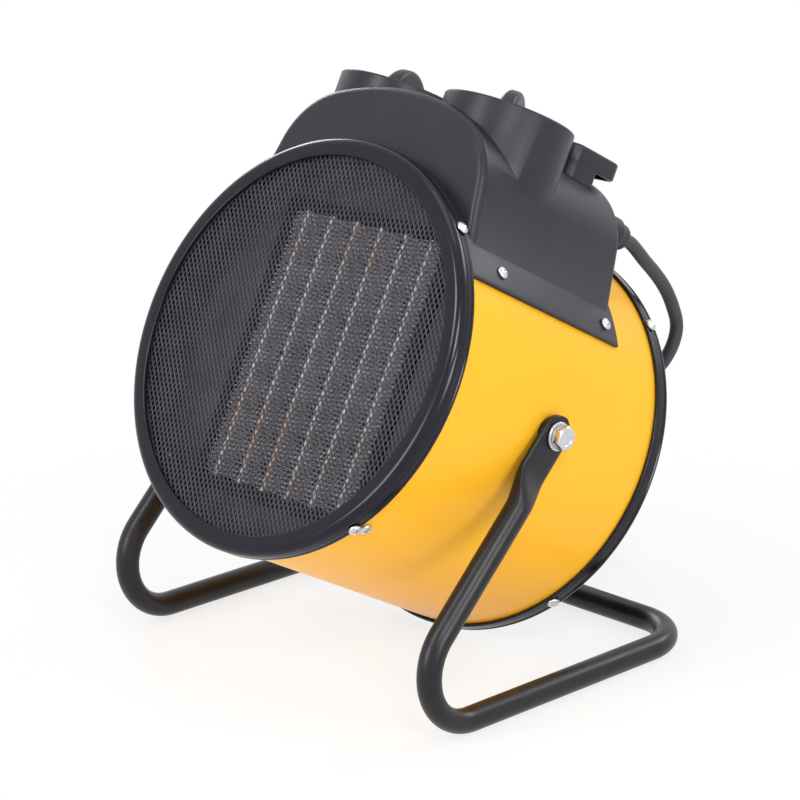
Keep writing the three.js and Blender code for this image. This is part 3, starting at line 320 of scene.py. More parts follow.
FINISHES = {
    "yellow_paint": dict(colour=(0.95, 0.475, 0.02), roughness=0.32, specular=0.24,
                         grain=(260, 0.06, 0.2), variation=(9, 0.025)),
    "black_paint": dict(colour=(0.0075, 0.007, 0.0095), roughness=0.35, specular=0.36,
                        grain=(900, 0.1, 0.08), variation=(30, 0.12)),
    "ring_paint": dict(colour=(0.005, 0.0046, 0.011), roughness=0.18, specular=0.3,
                       grain=(900, 0.06, 0.05), variation=(30, 0.12)),
    # Painted light: the baffle's black paint is drawn mid-grey for the light that falls on it through the guard.
    "baffle_painted_light": dict(colour=(0.075, 0.073, 0.085), roughness=0.5, specular=0.3,
                         grain=(700, 0.12, 0.1), variation=(25, 0.12)),
    "mesh_paint": dict(colour=(0.045, 0.043, 0.056), roughness=0.42, specular=0.4,
                       grain=(1500, 0.15, 0.08), variation=(60, 0.2)),
    "black_plastic": dict(colour=(0.0138, 0.0126, 0.0212), roughness=0.4, specular=0.36,
                          grain=(2600, 0.22, 0.08), variation=(25, 0.1)),
    "zinc": dict(colour=(0.64, 0.65, 0.68), roughness=0.32, metallic=1.0,
                 grain=(3000, 0.05, 0.03), variation=(300, 0.06)),
    "steel": dict(colour=(0.42, 0.42, 0.44), roughness=0.42, metallic=1.0,
                  grain=(1200, 0.12, 0.05, (1, 8, 1)), variation=(200, 0.15)),
    "aluminium": dict(colour=(1.0, 0.97, 0.93), roughness=0.4,
                      grain=(900, 0.15, 0.05, (6, 1, 1)), variation=(90, 0.06),
                      stain=(14, 0.85, (0.95, 0.6, 0.42))),
    "fin_aluminium": dict(colour=(0.6, 0.59, 0.61), roughness=0.55, metallic=0.2,
                          grain=(1500, 0.2, 0.05), variation=(700, 0.35)),
    "insulator": dict(colour=(0.008, 0.008, 0.009), roughness=0.6, specular=0.2,
                      grain=(1800, 0.2, 0.08), variation=(150, 0.2)),
    "rubber": dict(colour=(0.046, 0.042, 0.049), roughness=0.5, specular=0.4,
                   grain=(2200, 0.15, 0.06), variation=(60, 0.12)),
    "brass": dict(colour=(0.78, 0.63, 0.36), roughness=0.3, metallic=1.0,
                  grain=(2000, 0.1, 0.03), variation=(400, 0.1)),
    "white_print": dict(colour=(0.7, 0.7, 0.68), roughness=0.5,
                        grain=(2500, 0.1, 0.02), variation=(300, 0.05)),
}
MATERIALS = {name: material(name, **values) for name, values in FINISHES.items()}


def piece(obj, finish, body, *replaced, sharp=38):
    """Gives a finished mesh its material and its body, and hides the CAD nodes that it stands for."""
    obj.data.materials.clear()
    obj.data.materials.append(MATERIALS[finish])
    obj.data.shade_smooth()
    obj.data.set_sharp_from_angle(angle=math.radians(sharp))
    if replaced:
        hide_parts(*replaced)
    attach(obj, body)
    return obj


# CAD nodes that stay get the same materials as the pieces that replace the others.
for entry in frame["record"]["subparts"]:
    shown = nodes[entry["node"]].data
    shown.materials.clear()
    # The baffle plate takes a mid-grey in place of its black paint: painted light for the light that reaches it
    # through the guard.
    finish = "baffle_painted_light" if entry["node"] == "baffle_plate" else entry["material_slot"]
    shown.materials.append(MATERIALS[finish])

scene = bpy.context.scene
scene.view_settings.view_transform = "Standard"

# ---- Camera ----

AZIMUTH, ELEVATION = math.radians(45.4262), math.radians(16.8283)
FOCAL_PIXELS, FRAME_PIXELS, SENSOR_MM = 3036.87, 800, 36
AWAY, ASIDE, BELOW = 1.805975, 0.0009875, 0.006  # metres from the pivot
back = Vector((math.sin(AZIMUTH) * math.cos(ELEVATION),
               -math.cos(AZIMUTH) * math.cos(ELEVATION), math.sin(ELEVATION)))
right = Vector((math.cos(AZIMUTH), math.sin(AZIMUTH), 0))
up = back.cross(right)
camera = bpy.data.objects.new("camera", bpy.data.cameras.new("camera"))
scene.collection.objects.link(camera)
scene.camera = camera
camera.data.sensor_width = SENSOR_MM
camera.data.lens = FOCAL_PIXELS / FRAME_PIXELS * SENSOR_MM
camera.data.clip_start, camera.data.clip_end = 0.01, 50
eye = PIVOT + back * AWAY + right * ASIDE - up * BELOW
camera.matrix_world = (Matrix.Translation(eye)
                       @ Matrix((right, up, back)).transposed().to_4x4())


# ---- Cord ----

def tilted_point(x, y, z):
    """A point of the tilting body, in millimetres on the floor's axes."""
    return TILTED @ Vector((x, y, z)) / MM


pivot_y = PIVOT.y / MM
# The coil: its middle, inner radius, the steps from turn to turn and to its upper layer, its
# turns, the angle at which the cord joins it, and how the tail leaves it for the plug.
COIL_X, COIL_Y, COIL_R, PITCH, LAYER, TURNS = -85, 195, 43, 9, 9, 4.1
CLIMB = 0.5
ENTRY = math.radians(45)
TAIL_LENGTH, TAIL_RISE = 46, 5.6
FLOOR_LINE = CORD_D / 2 + 0.2
# The free stretch, as (x, distance behind the pivot, z).
LEAD_ROUTE = [
    (60.5, 151, 221.5), (60, 159.3, 214), (60, 166, 207), (60, 172, 199.5), (60, 176.6, 192),
    (60, 180, 185), (60, 182.6, 178), (60, 182.9, 171.5), (59.5, 181.5, 165), (58, 179.5, 158.5),
    (54.5, 178, 151.5), (47, 177.5, 142), (39, 178.5, 130), (31, 180.5, 115), (24, 183, 97),
    (17, 185.5, 78), (11, 186.5, 58), (5, 189, 39), (-3, 193.5, 22), (-12, 200, 10.5),
    (-22, 208.5, 5.2),
]


def coil_line(per_turn):
    """Turns that wind inwards on the floor and out again on top, then the tail."""
    outer = COIL_R + PITCH * TURNS / 4
    flat = (TURNS - CLIMB) / 2
    points = []
    total = round(TURNS * per_turn)
    for i in range(total + 1):
        turn = TURNS * i / total
        angle = ENTRY + 2 * math.pi * turn
        radius = outer - PITCH * (TURNS / 2 - abs(turn - TURNS / 2))
        share = min(1, max(0, (turn - flat) / CLIMB))
        points.append(Vector((COIL_X + radius * math.cos(angle), COIL_Y + radius * math.sin(angle),
                              FLOOR_LINE + LAYER * (1 - math.cos(math.pi * share)) / 2)))
    entry = Vector((-math.sin(ENTRY), math.cos(ENTRY), 0))
    points.insert(0, points[0] - entry * CORD_D)
    end = ENTRY + 2 * math.pi * TURNS
    off = Vector((-math.sin(end), math.cos(end), 0))
    leave = points[-1].copy()
    for i in range(1, 6):
        rise = TAIL_RISE * (1 - math.cos(math.pi * min(1, i / 4))) / 2
        points.append(leave + off * TAIL_LENGTH * i / 5 + Vector((0, 0, rise)))
    return points


def spline(points, per_span):
    """A centripetal Catmull-Rom curve through the points."""
    ends = [points[0] * 2 - points[1]] + list(points) + [points[-1] * 2 - points[-2]]
    out = []
    for i in range(1, len(ends) - 2):
        p = ends[i - 1:i + 3]
        t = [0.0]
        for a, b in zip(p, p[1:]):
            t.append(t[-1] + max(1e-6, (b - a).length) ** 0.5)
        for k in range(per_span):
            u = t[1] + (t[2] - t[1]) * k / per_span
            a = [p[j] * ((t[j + 1] - u) / (t[j + 1] - t[j]))
                 + p[j + 1] * ((u - t[j]) / (t[j + 1] - t[j])) for j in range(3)]
            b = [a[j] * ((t[j + 2] - u) / (t[j + 2] - t[j]))
                 + a[j + 1] * ((u - t[j]) / (t[j + 2] - t[j])) for j in range(2)]
            out.append(b[0] * ((t[2] - u) / (t[2] - t[1])) + b[1] * ((u - t[1]) / (t[2] - t[1])))
    return out + [points[-1].copy()]


gland_end = HOUSE_REAR + GLAND_LENGTH + 2 * GAP
cord_start = tilted_point(GLAND_X, gland_end, GLAND_Z)
cord_out = tilted_point(GLAND_X, gland_end + CORD_D, GLAND_Z)
coil = coil_line(48)
coil_entry = (coil[1] - coil[0]).normalized()
route = [cord_start, cord_out]
route += [Vector((x, pivot_y + behind, z)) for x, behind, z in LEAD_ROUTE]
landing = coil[0] - coil_entry * GAP
route += [landing - coil_entry * CORD_D * 1.6, landing]
cord_path = spline(route, 5)[:-1] + coil
cord = sweep("mains_cord", cord_path, CORD_D / 2, 20)
cord.data.materials.append(MATERIALS["rubber"])
cord.data.shade_smooth()
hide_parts("cord_lead", "cord_coil")
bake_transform(cord)

# ---- Stand ----

LEG_LEAN = math.radians(45)
BEND_RADII = (33, 36, 36, 33)
LEG_BEND_FLATTENING = 0.1
EAR_SQUARENESS = 4.5
BOLT_HOLE_R = 4.4
centre = PIVOT / MM


def stand_corners():
    """The bent bar's corners, from the top of one leg to the top of the other."""
    down = Vector((0, -math.sin(LEG_LEAN), -math.cos(LEG_LEAN)))
    drop = (centre.z - TUBE_R) / math.cos(LEG_LEAN)
    rear = pivot_y + CROSSBAR_BEHIND

    def top(x):
        return Vector((x, centre.y, centre.z)) - down * EAR_REACH

    def foot(x):
        return Vector((x, centre.y, centre.z)) + down * drop

    return [top(LEG_X), foot(LEG_X), Vector((LEG_X, rear, TUBE_R)),
            Vector((-LEG_X, rear, TUBE_R)), foot(-LEG_X), top(-LEG_X)]


def stand_line():
    """(point, tangent, distance from the end of its leg or None, flattening in a bend)."""
    corners = stand_corners()
    steps = [0.02, 0.15, 0.5, 1.1, 2, 3.2, 4.8, 6.8, 9.2, EAR_REACH]
    steps += [EAR_REACH + EAR_LENGTH * k / 4 for k in range(1, 5)]
    steps += [EAR_REACH + EAR_LENGTH + EAR_BLEND * k / 14 for k in range(1, 15)]
    line = []
    out = (corners[1] - corners[0]).normalized()
    line += [(corners[0] + out * s, out, s, 0) for s in steps]
    for i, radius in enumerate(BEND_RADII):
        before = (corners[i] - corners[i + 1]).normalized()
        after = (corners[i + 2] - corners[i + 1]).normalized()
        half = before.angle(after) / 2
        middle = corners[i + 1] + (before + after).normalized() * radius / math.sin(half)
        arm = corners[i + 1] + before * radius / math.tan(half) - middle
        axis = before.cross(after).normalized()
        swing = math.pi - 2 * half
        count = 24
        for k in range(count + 1):
            turn = Quaternion(axis, -swing * k / count)
            flat = LEG_BEND_FLATTENING * math.sin(math.pi * k / count) if i in (0, 3) else 0
            line.append((middle + turn @ arm, turn @ -before, None, flat))
    back = (corners[4] - corners[5]).normalized()
    line += [(corners[5] + back * s, -back, s, 0) for s in reversed(steps)]
    return line


def stand_section(distance):
    """Half thickness, half width, inward shift and squareness near a flattened end."""
    blend = smoothstep(distance, EAR_REACH + EAR_LENGTH, EAR_REACH + EAR_LENGTH + EAR_BLEND)
    past = max(0.0, EAR_REACH - distance) / EAR_REACH
    ends = math.sqrt(max(0.003, 1 - past ** 2))
    return ((EAR_THICK / 2) * (1 - blend) + TUBE_R * blend,
            ((EAR_WIDTH / 2) * (1 - blend) + TUBE_R * blend) * ends,
            (LEG_X - EAR_INSIDE - EAR_THICK / 2) * (1 - blend),
            EAR_SQUARENESS * (1 - blend) + 2 * blend)


def stand_tube():
    """The bent bar, its ends pressed flat and holed for the tilt bolts."""
    line = stand_line()
    normal = Vector((1, 0, 0))
    rows = []
    sides = 40
    for i, (point, tangent, distance, flat) in enumerate(line):
        if i:
            normal = line[i - 1][1].rotation_difference(tangent) @ normal
        normal = (normal - tangent * normal.dot(tangent)).normalized()
        side = tangent.cross(normal)
        thick, wide, shift, square = TUBE_R, TUBE_R * (1 - flat), 0, 2
        if distance is not None:
            thick, wide, shift, square = stand_section(distance)
        inward = Vector((-shift if point.x > 0 else shift, 0, 0))
        row = []
        for j in range(sides):
            angle = 2 * math.pi * j / sides
            c, s = math.cos(angle), math.sin(angle)
            n = math.copysign(abs(c) ** (2 / square), c) * thick
            b = math.copysign(abs(s) ** (2 / square), s) * wide
            row.append(point + normal * n + side * b + inward)
        rows.append(row)
    tube = loft("stand_tube_bent", rows, FLOOR)
    for sign in (1, -1):
        line = [Vector((sign * (LEG_X + far), centre.y, centre.z)) for far in (-15, 15)]
        boolean(tube, "DIFFERENCE", sweep("bolt_hole", line, BOLT_HOLE_R, 32))
    return tube


piece(stand_tube(), "black_paint", "stand", "stand_tube")

# ---- Drum and rings ----

DRUM_FRONT = -(FACE_AHEAD - FRONT_RING_SHEET - GUARD_THICK - 2 * GAP)
DRUM_REAR = FACE_BEHIND - REAR_RING_SHEET - GUARD_THICK - 2 * GAP
DRUM_EDGE = 0.3
bore = DRUM_R - DRUM_WALL
drum_outline = [(bore, DRUM_FRONT), (DRUM_R - DRUM_EDGE, DRUM_FRONT),
                (DRUM_R, DRUM_FRONT + DRUM_EDGE), (DRUM_R, DRUM_REAR - DRUM_EDGE),
                (DRUM_R - DRUM_EDGE, DRUM_REAR), (bore, DRUM_REAR)]
drum = piece(lathe("drum_sheet", drum_outline, 256), "yellow_paint", "heater", "drum_shell")
drum.data.materials.append(MATERIALS["black_paint"])
for face in drum.data.polygons:
    spot = TILTED.inverted() @ face.center
    face.material_index = 1 if math.hypot(spot.x, spot.z) < DRUM_R - DRUM_WALL / 2 else 0
RING_BORE = (DRUM_R + GAP) / math.cos(math.pi / 40)


def ring(name, node, over, length, lip, flange, sheet, face, way):
    """A pressed ring whose lip, over the drum by that much, carries two shallow beads."""
    outer = DRUM_R + over
    inner = outer - flange
    outline = [(inner, sheet, 0.5), (inner, 0, 0.9), (outer, 0, lip), (outer, lip + 0.1, 0.3),
               (outer - 0.6, lip + 0.9, 0.4), (outer - 0.2, lip + 1.9, 0.4),
               (outer - 0.2, length - 3.2, 0.4), (outer - 0.45, length - 2.6, 0.4),
               (outer, length - 1.9, 0.4), (outer, length, 0.8), (RING_BORE, length, 0.3),
               (RING_BORE, sheet, 0.3)]
    profile = [(r, face - way * depth) for r, depth in fillet(outline, steps=7)]
    return piece(lathe(name, profile, 256), "ring_paint", "heater", node, sharp=50)


ring("front_trim_ring", "front_ring", 3.3, FRONT_RING_LENGTH, 5.4, 11.5, FRONT_RING_SHEET,
     -FACE_AHEAD, -1)
ring("rear_trim_ring", "rear_ring", 2.3, REAR_RING_LENGTH, 3, 9, REAR_RING_SHEET, FACE_BEHIND, 1)

# ---- Expanded-metal guards ----

def expanded_mesh(name, node, y, way):
    """Staggered diamond gaps, the strands of each one twisted a little out of the sheet."""
    pitch, step, strand = 3.5, 2.95, 0.8
    turn = math.radians(7.2)
    half_w, half_h = pitch / 2, step
    share = 1 - strand * math.hypot(half_w, half_h) / (2 * half_w * half_h)
    sheet, twist, rim, rim_half = 0.45, 0.2, 7, 0.6
    middle = y + GUARD_THICK / 2
    reach = DRUM_R - 2
    cos_turn, sin_turn = math.cos(turn), math.sin(turn)
    corners = ((0, half_h, -twist), (half_w, 0, 0), (0, -half_h, twist), (-half_w, 0, 0))
    rows, columns = int(reach / step) + 1, int(reach / pitch) + 1
    verts, faces = [], []
    for j in range(-rows, rows + 1):
        for i in range(-columns, columns + 1):
            cx = (i + (0.5 if j % 2 else 0)) * pitch
            cz = j * step
            if math.hypot(cx, cz) > reach - 2:
                continue
            base = len(verts)
            for layer in (-sheet / 2, sheet / 2):
                for size, lifted in ((1, 0), (share, way)):
                    for x, z, lift in corners:
                        px, pz = cx + x * size, cz + z * size
                        verts.append((px * cos_turn - pz * sin_turn, middle + layer + lift * lifted,
                                      px * sin_turn + pz * cos_turn))
            for k in range(4):
                m = (k + 1) % 4
                faces.append([base + k, base + m, base + 4 + m, base + 4 + k])
                faces.append([base + 8 + k, base + 12 + k, base + 12 + m, base + 8 + m])
                faces.append([base + 4 + k, base + 4 + m, base + 12 + m, base + 12 + k])
    sides = 160
    base = len(verts)
    for radius in (DRUM_R - rim, DRUM_R - 1):
        for layer in (-rim_half, rim_half):
            for k in range(sides):
                a = 2 * math.pi * k / sides
                verts.append((radius * math.sin(a), middle + layer, radius * math.cos(a)))
    loops = [base, base + sides, base + 3 * sides, base + 2 * sides]
    for low, high in zip(loops, loops[1:] + loops[:1]):
        for k in range(sides):
            m = (k + 1) % sides
            faces.append([low + k, low + m, high + m, high + k])
    obj = mesh_object(name, verts, faces, TILTED)
    return piece(obj, "mesh_paint", "heater", node, sharp=60)


expanded_mesh("front_guard_mesh", "front_grille", -FACE_AHEAD + FRONT_RING_SHEET + GAP, 1)
expanded_mesh("rear_guard_mesh", "rear_grille",
              FACE_BEHIND - REAR_RING_SHEET - GAP - GUARD_THICK, -1)

# ---- Heating element ----

Z_LOW = ELEMENT_MIDDLE - ELEMENT_H / 2
Z_HIGH = ELEMENT_MIDDLE + ELEMENT_H / 2
BAR_HALF, BAR_EDGE = 1.25, 0.35
BAR_STEP = 20.6
bar_places = [(i - 2.5) * BAR_STEP for i in range(6)]


def element_bars():
    """The light rods, each a rounded upright bar."""
    verts, faces = [], []
    for x in bar_places:
        outline = rounded_box(x - BAR_HALF, x + BAR_HALF, ELEMENT_FRONT,
                              ELEMENT_FRONT + ELEMENT_DEPTH, BAR_EDGE, 2)
        base, n = len(verts), len(outline)
        verts += [(px, py, z) for z in (Z_LOW, Z_HIGH) for px, py in outline]
        faces += [list(range(base, base + n))[::-1], list(range(base + n, base + 2 * n))]
        faces += [[base + k, base + (k + 1) % n, base + n + (k + 1) % n, base + n + k]
                  for k in range(n)]
    return mesh_object("element_bars", verts, faces, TILTED)


def element_fins():
    """Folded fins between the bars: thin sheet running to and fro from bar to bar."""
    verts, faces = [], []
    fold, thin, uneven, from_bar = 1.3, 0.42, 0.22, 1.45
    front, rear = ELEMENT_FRONT + 0.5, ELEMENT_FRONT + ELEMENT_DEPTH - 0.9
    edges = sorted(bar_places + [-ELEMENT_W / 2 - 1, ELEMENT_W / 2 + 1])
    count = int((ELEMENT_H - 2) / fold)
    rng = np.random.default_rng(4)
    for left, right in zip(edges, edges[1:]):
        base = len(verts)
        for k in range(count + 1):
            z = Z_LOW + 1 + (ELEMENT_H - 2) * k / count + rng.uniform(-uneven, uneven)
            x = right - from_bar if k % 2 == 0 else left + from_bar
            for y in (front, rear):
                for side in (-thin / 2, thin / 2):
                    verts.append((x, y, z + side))
        for k in range(count):
            a, b = base + 4 * k, base + 4 * (k + 1)
            faces += [[a, b, b + 1, a + 1], [a + 2, a + 3, b + 3, b + 2],
                      [a, a + 2, b + 2, b], [a + 1, b + 1, b + 3, a + 3]]
        last = base + 4 * count
        faces += [[base, base + 1, base + 3, base + 2], [last, last + 2, last + 3, last + 1]]
    return mesh_object("element_fins", verts, faces, TILTED)


piece(element_bars(), "aluminium", "heater", "element_core")
piece(element_fins(), "fin_aluminium", "heater", "element_core", sharp=20)

# ---- Fan and motor ----

MOTOR_FRONT, MOTOR_LENGTH, MOTOR_R = -22.0, 42.0, 32.0
FAN_FRONT, FAN_DEPTH, FAN_R, HUB_R = 34.0, 22.0, 99.0, 24.0
ROOT_CHORD, TIP_CHORD, ROOT_PITCH, TIP_PITCH = 32, 62, 42, 24
BLADES = 6
SHAFT_HOLE_R = 3.3


def fan_blade(turn):
    """One broad blade, flatter and wider towards its tip, with rounded corners."""
    camber_share, half_thick, sweep = 0.16, 0.9, 0.22
    rows = []
    for i in range(17):
        share = i / 16
        radius = (HUB_R - 2) * (1 - share) + FAN_R * share
        chord = ROOT_CHORD + (TIP_CHORD - ROOT_CHORD) * share ** 0.8
        chord *= 1 - 0.2 * smoothstep(share, 0.86, 1.0) ** 2
        pitch = math.radians(ROOT_PITCH + (TIP_PITCH - ROOT_PITCH) * share)
        row = []
        for side in (1, -1):
            for k in range(13):
                s = (k / 12 - 0.5) * side
                camber = (0.25 - s * s) * chord * camber_share
                thick = half_thick * (1 - 3.2 * s * s) * side
                along = s * chord * math.cos(pitch) - (camber + thick) * math.sin(pitch)
                axial = s * chord * math.sin(pitch) + (camber + thick) * math.cos(pitch)
                angle = share * share * sweep + along / radius + turn
                row.append(Vector((radius * math.sin(angle), FAN_FRONT + FAN_DEPTH / 2 + axial,
                                   radius * math.cos(angle))))
        rows.append(row)
    return loft("fan_blade", rows, TILTED)


def fan_impeller():
    """A hub and its blades, whose roots end inside the hub's wall."""
    y0, y1 = FAN_FRONT, FAN_FRONT + FAN_DEPTH
    outline = [(SHAFT_HOLE_R, y0 + 1, 0.3), (8.3, y0 + 1, 0.5), (8.3, y1 - 5, 1),
               (HUB_R - 2.5, y1 - 5, 1), (HUB_R - 2.5, y0, 0.6), (HUB_R, y0, 0.6),
               (HUB_R, y1 - 1, 3.5), (7, y1, 0.5), (SHAFT_HOLE_R, y1, 0.4)]
    hub = lathe("fan_wheel", fillet(outline, steps=4), 96)
    for i in range(BLADES):
        blade = fan_blade(2 * math.pi * i / BLADES)
        boolean(blade, "DIFFERENCE", lathe("hub_core", rod(HUB_R - 1.5, y0 - 40, y1 + 40), 64))
        boolean(hub, "UNION", blade)
    return hub


piece(fan_impeller(), "black_plastic", "fan", "fan_impeller", sharp=40)


def fan_motor():
    """A pressed can with a seam, cooling slots in its ends and a bearing boss on each."""
    y0, y1 = MOTOR_FRONT, MOTOR_FRONT + MOTOR_LENGTH
    r, boss = MOTOR_R, 8
    half = [(SHAFT_HOLE_R, y0 - 3, 0.3), (boss, y0 - 3, 0.8), (boss, y0, 0.6), (r - 2, y0, 2.6),
            (r, y0 + 3, 1.5), (r, y0 + 14, 0.2), (r - 0.5, y0 + 14.4, 0.2)]
    rest = [(r - 0.5, y1 - 14.4, 0.2), (r, y1 - 14, 0.2), (r, y1 - 3, 1.5), (r - 2, y1, 2.6),
            (boss, y1, 0.6), (boss, y1 + 3, 0.8), (SHAFT_HOLE_R, y1 + 3, 0.3)]
    can = lathe("motor_can", fillet(half + rest, steps=3), 96)
    for y in (y0, y1):
        for k in range(8):
            slot = prism_along_y("slot", rounded_box(-7, 7, 16, 20.5, 2.2, 4), y - 1.4, y + 1.4,
                                 TILTED @ Matrix.Rotation(math.pi * (2 * k + 1) / 8, 4, "Y"))
            boolean(can, "DIFFERENCE", slot)
    return can


piece(fan_motor(), "steel", "heater", "fan_motor", sharp=35)

# ---- Control housing ----

SIDES_MEET_DRUM = math.radians(49.88)
HAND_GAP_HALF = 46


def arch(inset, low):
    """Sloping sides, wide corners and a round roof, all drawn in by the inset."""
    roof, corner = HOUSE_ROOF - inset, HOUSE_CORNER - inset
    side = DRUM_R * math.sin(SIDES_MEET_DRUM + HOUSE_LEAN) - inset
    along = math.sqrt((roof - corner) ** 2 - (side - corner) ** 2)
    cx = (side - corner) * math.cos(HOUSE_LEAN) - along * math.sin(HOUSE_LEAN)
    cz = (side - corner) * math.sin(HOUSE_LEAN) + along * math.cos(HOUSE_LEAN)
    to_roof = math.atan2(cz, cx)
    foot = (side - low * math.sin(HOUSE_LEAN)) / math.cos(HOUSE_LEAN)
    return ([(-foot, low), (foot, low)] + arc(cx, cz, corner, HOUSE_LEAN, to_roof, 14)
            + arc(0, 0, roof, to_roof, math.pi - to_roof, 42)[1:-1]
            + arc(-cx, cz, corner, math.pi - to_roof, math.pi - HOUSE_LEAN, 14))


def arch_body(name, inset, low, y0, y1, edge):
    """The arch from y0 to y1, its front and rear edges rounded."""
    rows = []
    steps = 8 if edge else 0
    for k in range(steps + 1):
        a = math.pi / 2 * k / steps if steps else math.pi / 2
        grown = inset + edge * (1 - math.sin(a))
        rows.append([Vector((x, y0 + edge * (1 - math.cos(a)), z)) for x, z in arch(grown, low)])
    for row in rows[::-1]:
        rows.append([Vector((p.x, y1 - (p.y - y0), p.z)) for p in row])
    return loft(name, rows, TILTED)


def turned(name, profile, x=0.0, y=0.0, sides=96):
    """Turns (radius, z) points about an upright axis of the tilted body."""
    upright = TILTED @ Matrix.Translation((x, y, 0)) @ Matrix.Rotation(math.pi / 2, 4, "X")
    return lathe(name, profile, sides, upright)


def wells(name, profile):
    """The same turned shape at both knob wells."""
    return [turned(name, profile, x, -WELL_AHEAD) for x in (WELL_X, -WELL_X)]


def scoop(grow):
    """The hand recess behind the wells; grown, it also holds the recess's walls."""
    low = SCOOP_FLOOR - grow
    half = HAND_GAP_HALF + grow
    outline = fillet([(-half, low, 7), (half, low, 7), (half, low + 60, 0), (-half, low + 60, 0)],
                     steps=8)
    return prism_along_y("scoop", outline, SCOOP_FROM - grow, HOUSE_REAR + 20)


def cavity():
    """The housing's inside, before its wells and recess."""
    return arch_body("cavity", HOUSE_WALL, 40, HOUSE_WALL - HOUSE_FRONT, HOUSE_REAR - HOUSE_WALL,
                     0)


def housing_foot():
    """The curved flange that follows the drum."""
    half = math.radians(FOOT_ANGLE)
    start, end = math.pi / 2 + half, math.pi / 2 - half
    outline = (arc(0, 0, DRUM_R + GAP, start, end, 96)
               + arc(0, 0, DRUM_R + GAP + FOOT_SHEET, end, start, 96))
    foot = prism_along_y("foot", outline, -(FACE_AHEAD - FRONT_RING_LENGTH - GAP - 0.2),
                         HOUSE_REAR + 1)
    return bevel(foot, 0.55, 3, 50)


def control_housing():
    """A hollow shell with two knob wells and a hand recess, cut off at the drum."""
    inner = WELL_R - WELL_WALL
    under_floor = WELL_FLOOR - HOUSE_WALL
    shell = arch_body("control_housing_shell", 0, 50, -HOUSE_FRONT, HOUSE_REAR, HOUSE_EDGE)
    rim = fillet([(0, 100, 0), (WELL_R, 100, 0), (WELL_R, WELL_RIM, 1.3), (0, WELL_RIM, 0)],
                 steps=5)
    boolean(shell, "UNION", *wells("well_wall", rim))
    boolean(shell, "DIFFERENCE", scoop(0))
    hollow = boolean(cavity(), "UNION", *wells("well_inside", rod(inner, 90, under_floor)))
    boolean(hollow, "DIFFERENCE", scoop(HOUSE_WALL),
            *wells("over_floor", rod(inner + 0.01, under_floor, WELL_RIM + 5)))
    pit = fillet([(0, WELL_FLOOR, 0), (inner, WELL_FLOOR, 1.2), (inner, WELL_RIM - 0.7, 0),
                  (inner + 0.7, WELL_RIM + 0.1, 0), (inner + 0.7, WELL_RIM + 5, 0),
                  (0, WELL_RIM + 5, 0)], steps=4)
    gland_place = TILTED @ Matrix.Translation((GLAND_X, HOUSE_REAR, GLAND_Z))
    boolean(shell, "DIFFERENCE", hollow, *wells("well_pit", pit),
            *wells("spindle_hole", rod(4.5, WELL_FLOOR - 10, WELL_FLOOR + 5)),
            lathe("drum_room", rod(DRUM_R + GAP + 0.35, -150, 150), 256),
            lathe("gland_hole", rod(6.3, -9, 9), 48, gland_place))
    return boolean(shell, "UNION", boolean(housing_foot(), "DIFFERENCE", cavity()))


piece(control_housing(), "black_plastic", "heater", "control_housing", sharp=32)


def carry_handle():
    """A plate with a finger hole and a pocket below, on two posts behind the wells."""
    front, rear, top, thick = HANDLE_FRONT, HOUSE_REAR + 2.5, DRUM_R + 49, 11
    half, hole_half, wall = 62, 42, 3.2
    hole_front, hole_rear = front + 7, front + 22
    outline = rounded_box(-half, half, front, rear, 8, 10)
    plate = prism("carry_handle_grip", outline, top - thick, top)
    slot = rounded_box(-hole_half, hole_half, hole_front, hole_rear, 6.8, 10)
    boolean(plate, "DIFFERENCE", prism("slot", slot, top - 20, top + 5))
    bevel(plate, 3.4, 6, 40)
    outline = rounded_box(wall - half, half - wall, hole_rear + wall, rear - wall, 4, 6)
    pocket = prism("pocket", outline, top - thick - 2, top - thick + 7)
    for sign in (1, -1):
        inner, outer = sign * 48, sign * (half - 0.1)
        outline = fillet([(inner, front + 0.1, 2), (outer, front + 0.1, 8),
                          (outer, front + 26, 4), (inner, front + 26, 4)], steps=8)
        boolean(plate, "UNION", prism("post", outline, DRUM_R + 8, top - 4))
    boolean(plate, "DIFFERENCE", arch_body("roof", -GAP, 50, -HOUSE_FRONT, HOUSE_REAR + 10, 0))
    return boolean(plate, "DIFFERENCE", pocket)


piece(carry_handle(), "black_plastic", "heater", "carry_handle", sharp=40)

# ---- Knobs ----

KNOB_FLOOR = WELL_FLOOR + 0.8
SKIRT_TOP = KNOB_FLOOR + 7.5
GRIP_TOP = DRUM_R + 61.5
GRIP_R, GRIP_THICK, GRIP_EDGE, GRIP_DRAFT = 25.0, 13.0, 4.2, 0.26


def spun(turn):
    """The tilted body's frame, turned about its upright axis."""
    return TILTED @ Matrix.Rotation(math.radians(turn), 4, "Z")


def at_well(obj, x):
    """Moves a mesh from the tilted body's middle to a knob's place."""
    obj.data.transform(TILTED @ Matrix.Translation((x, -WELL_AHEAD, 0)) @ TILTED.inverted())
    return obj


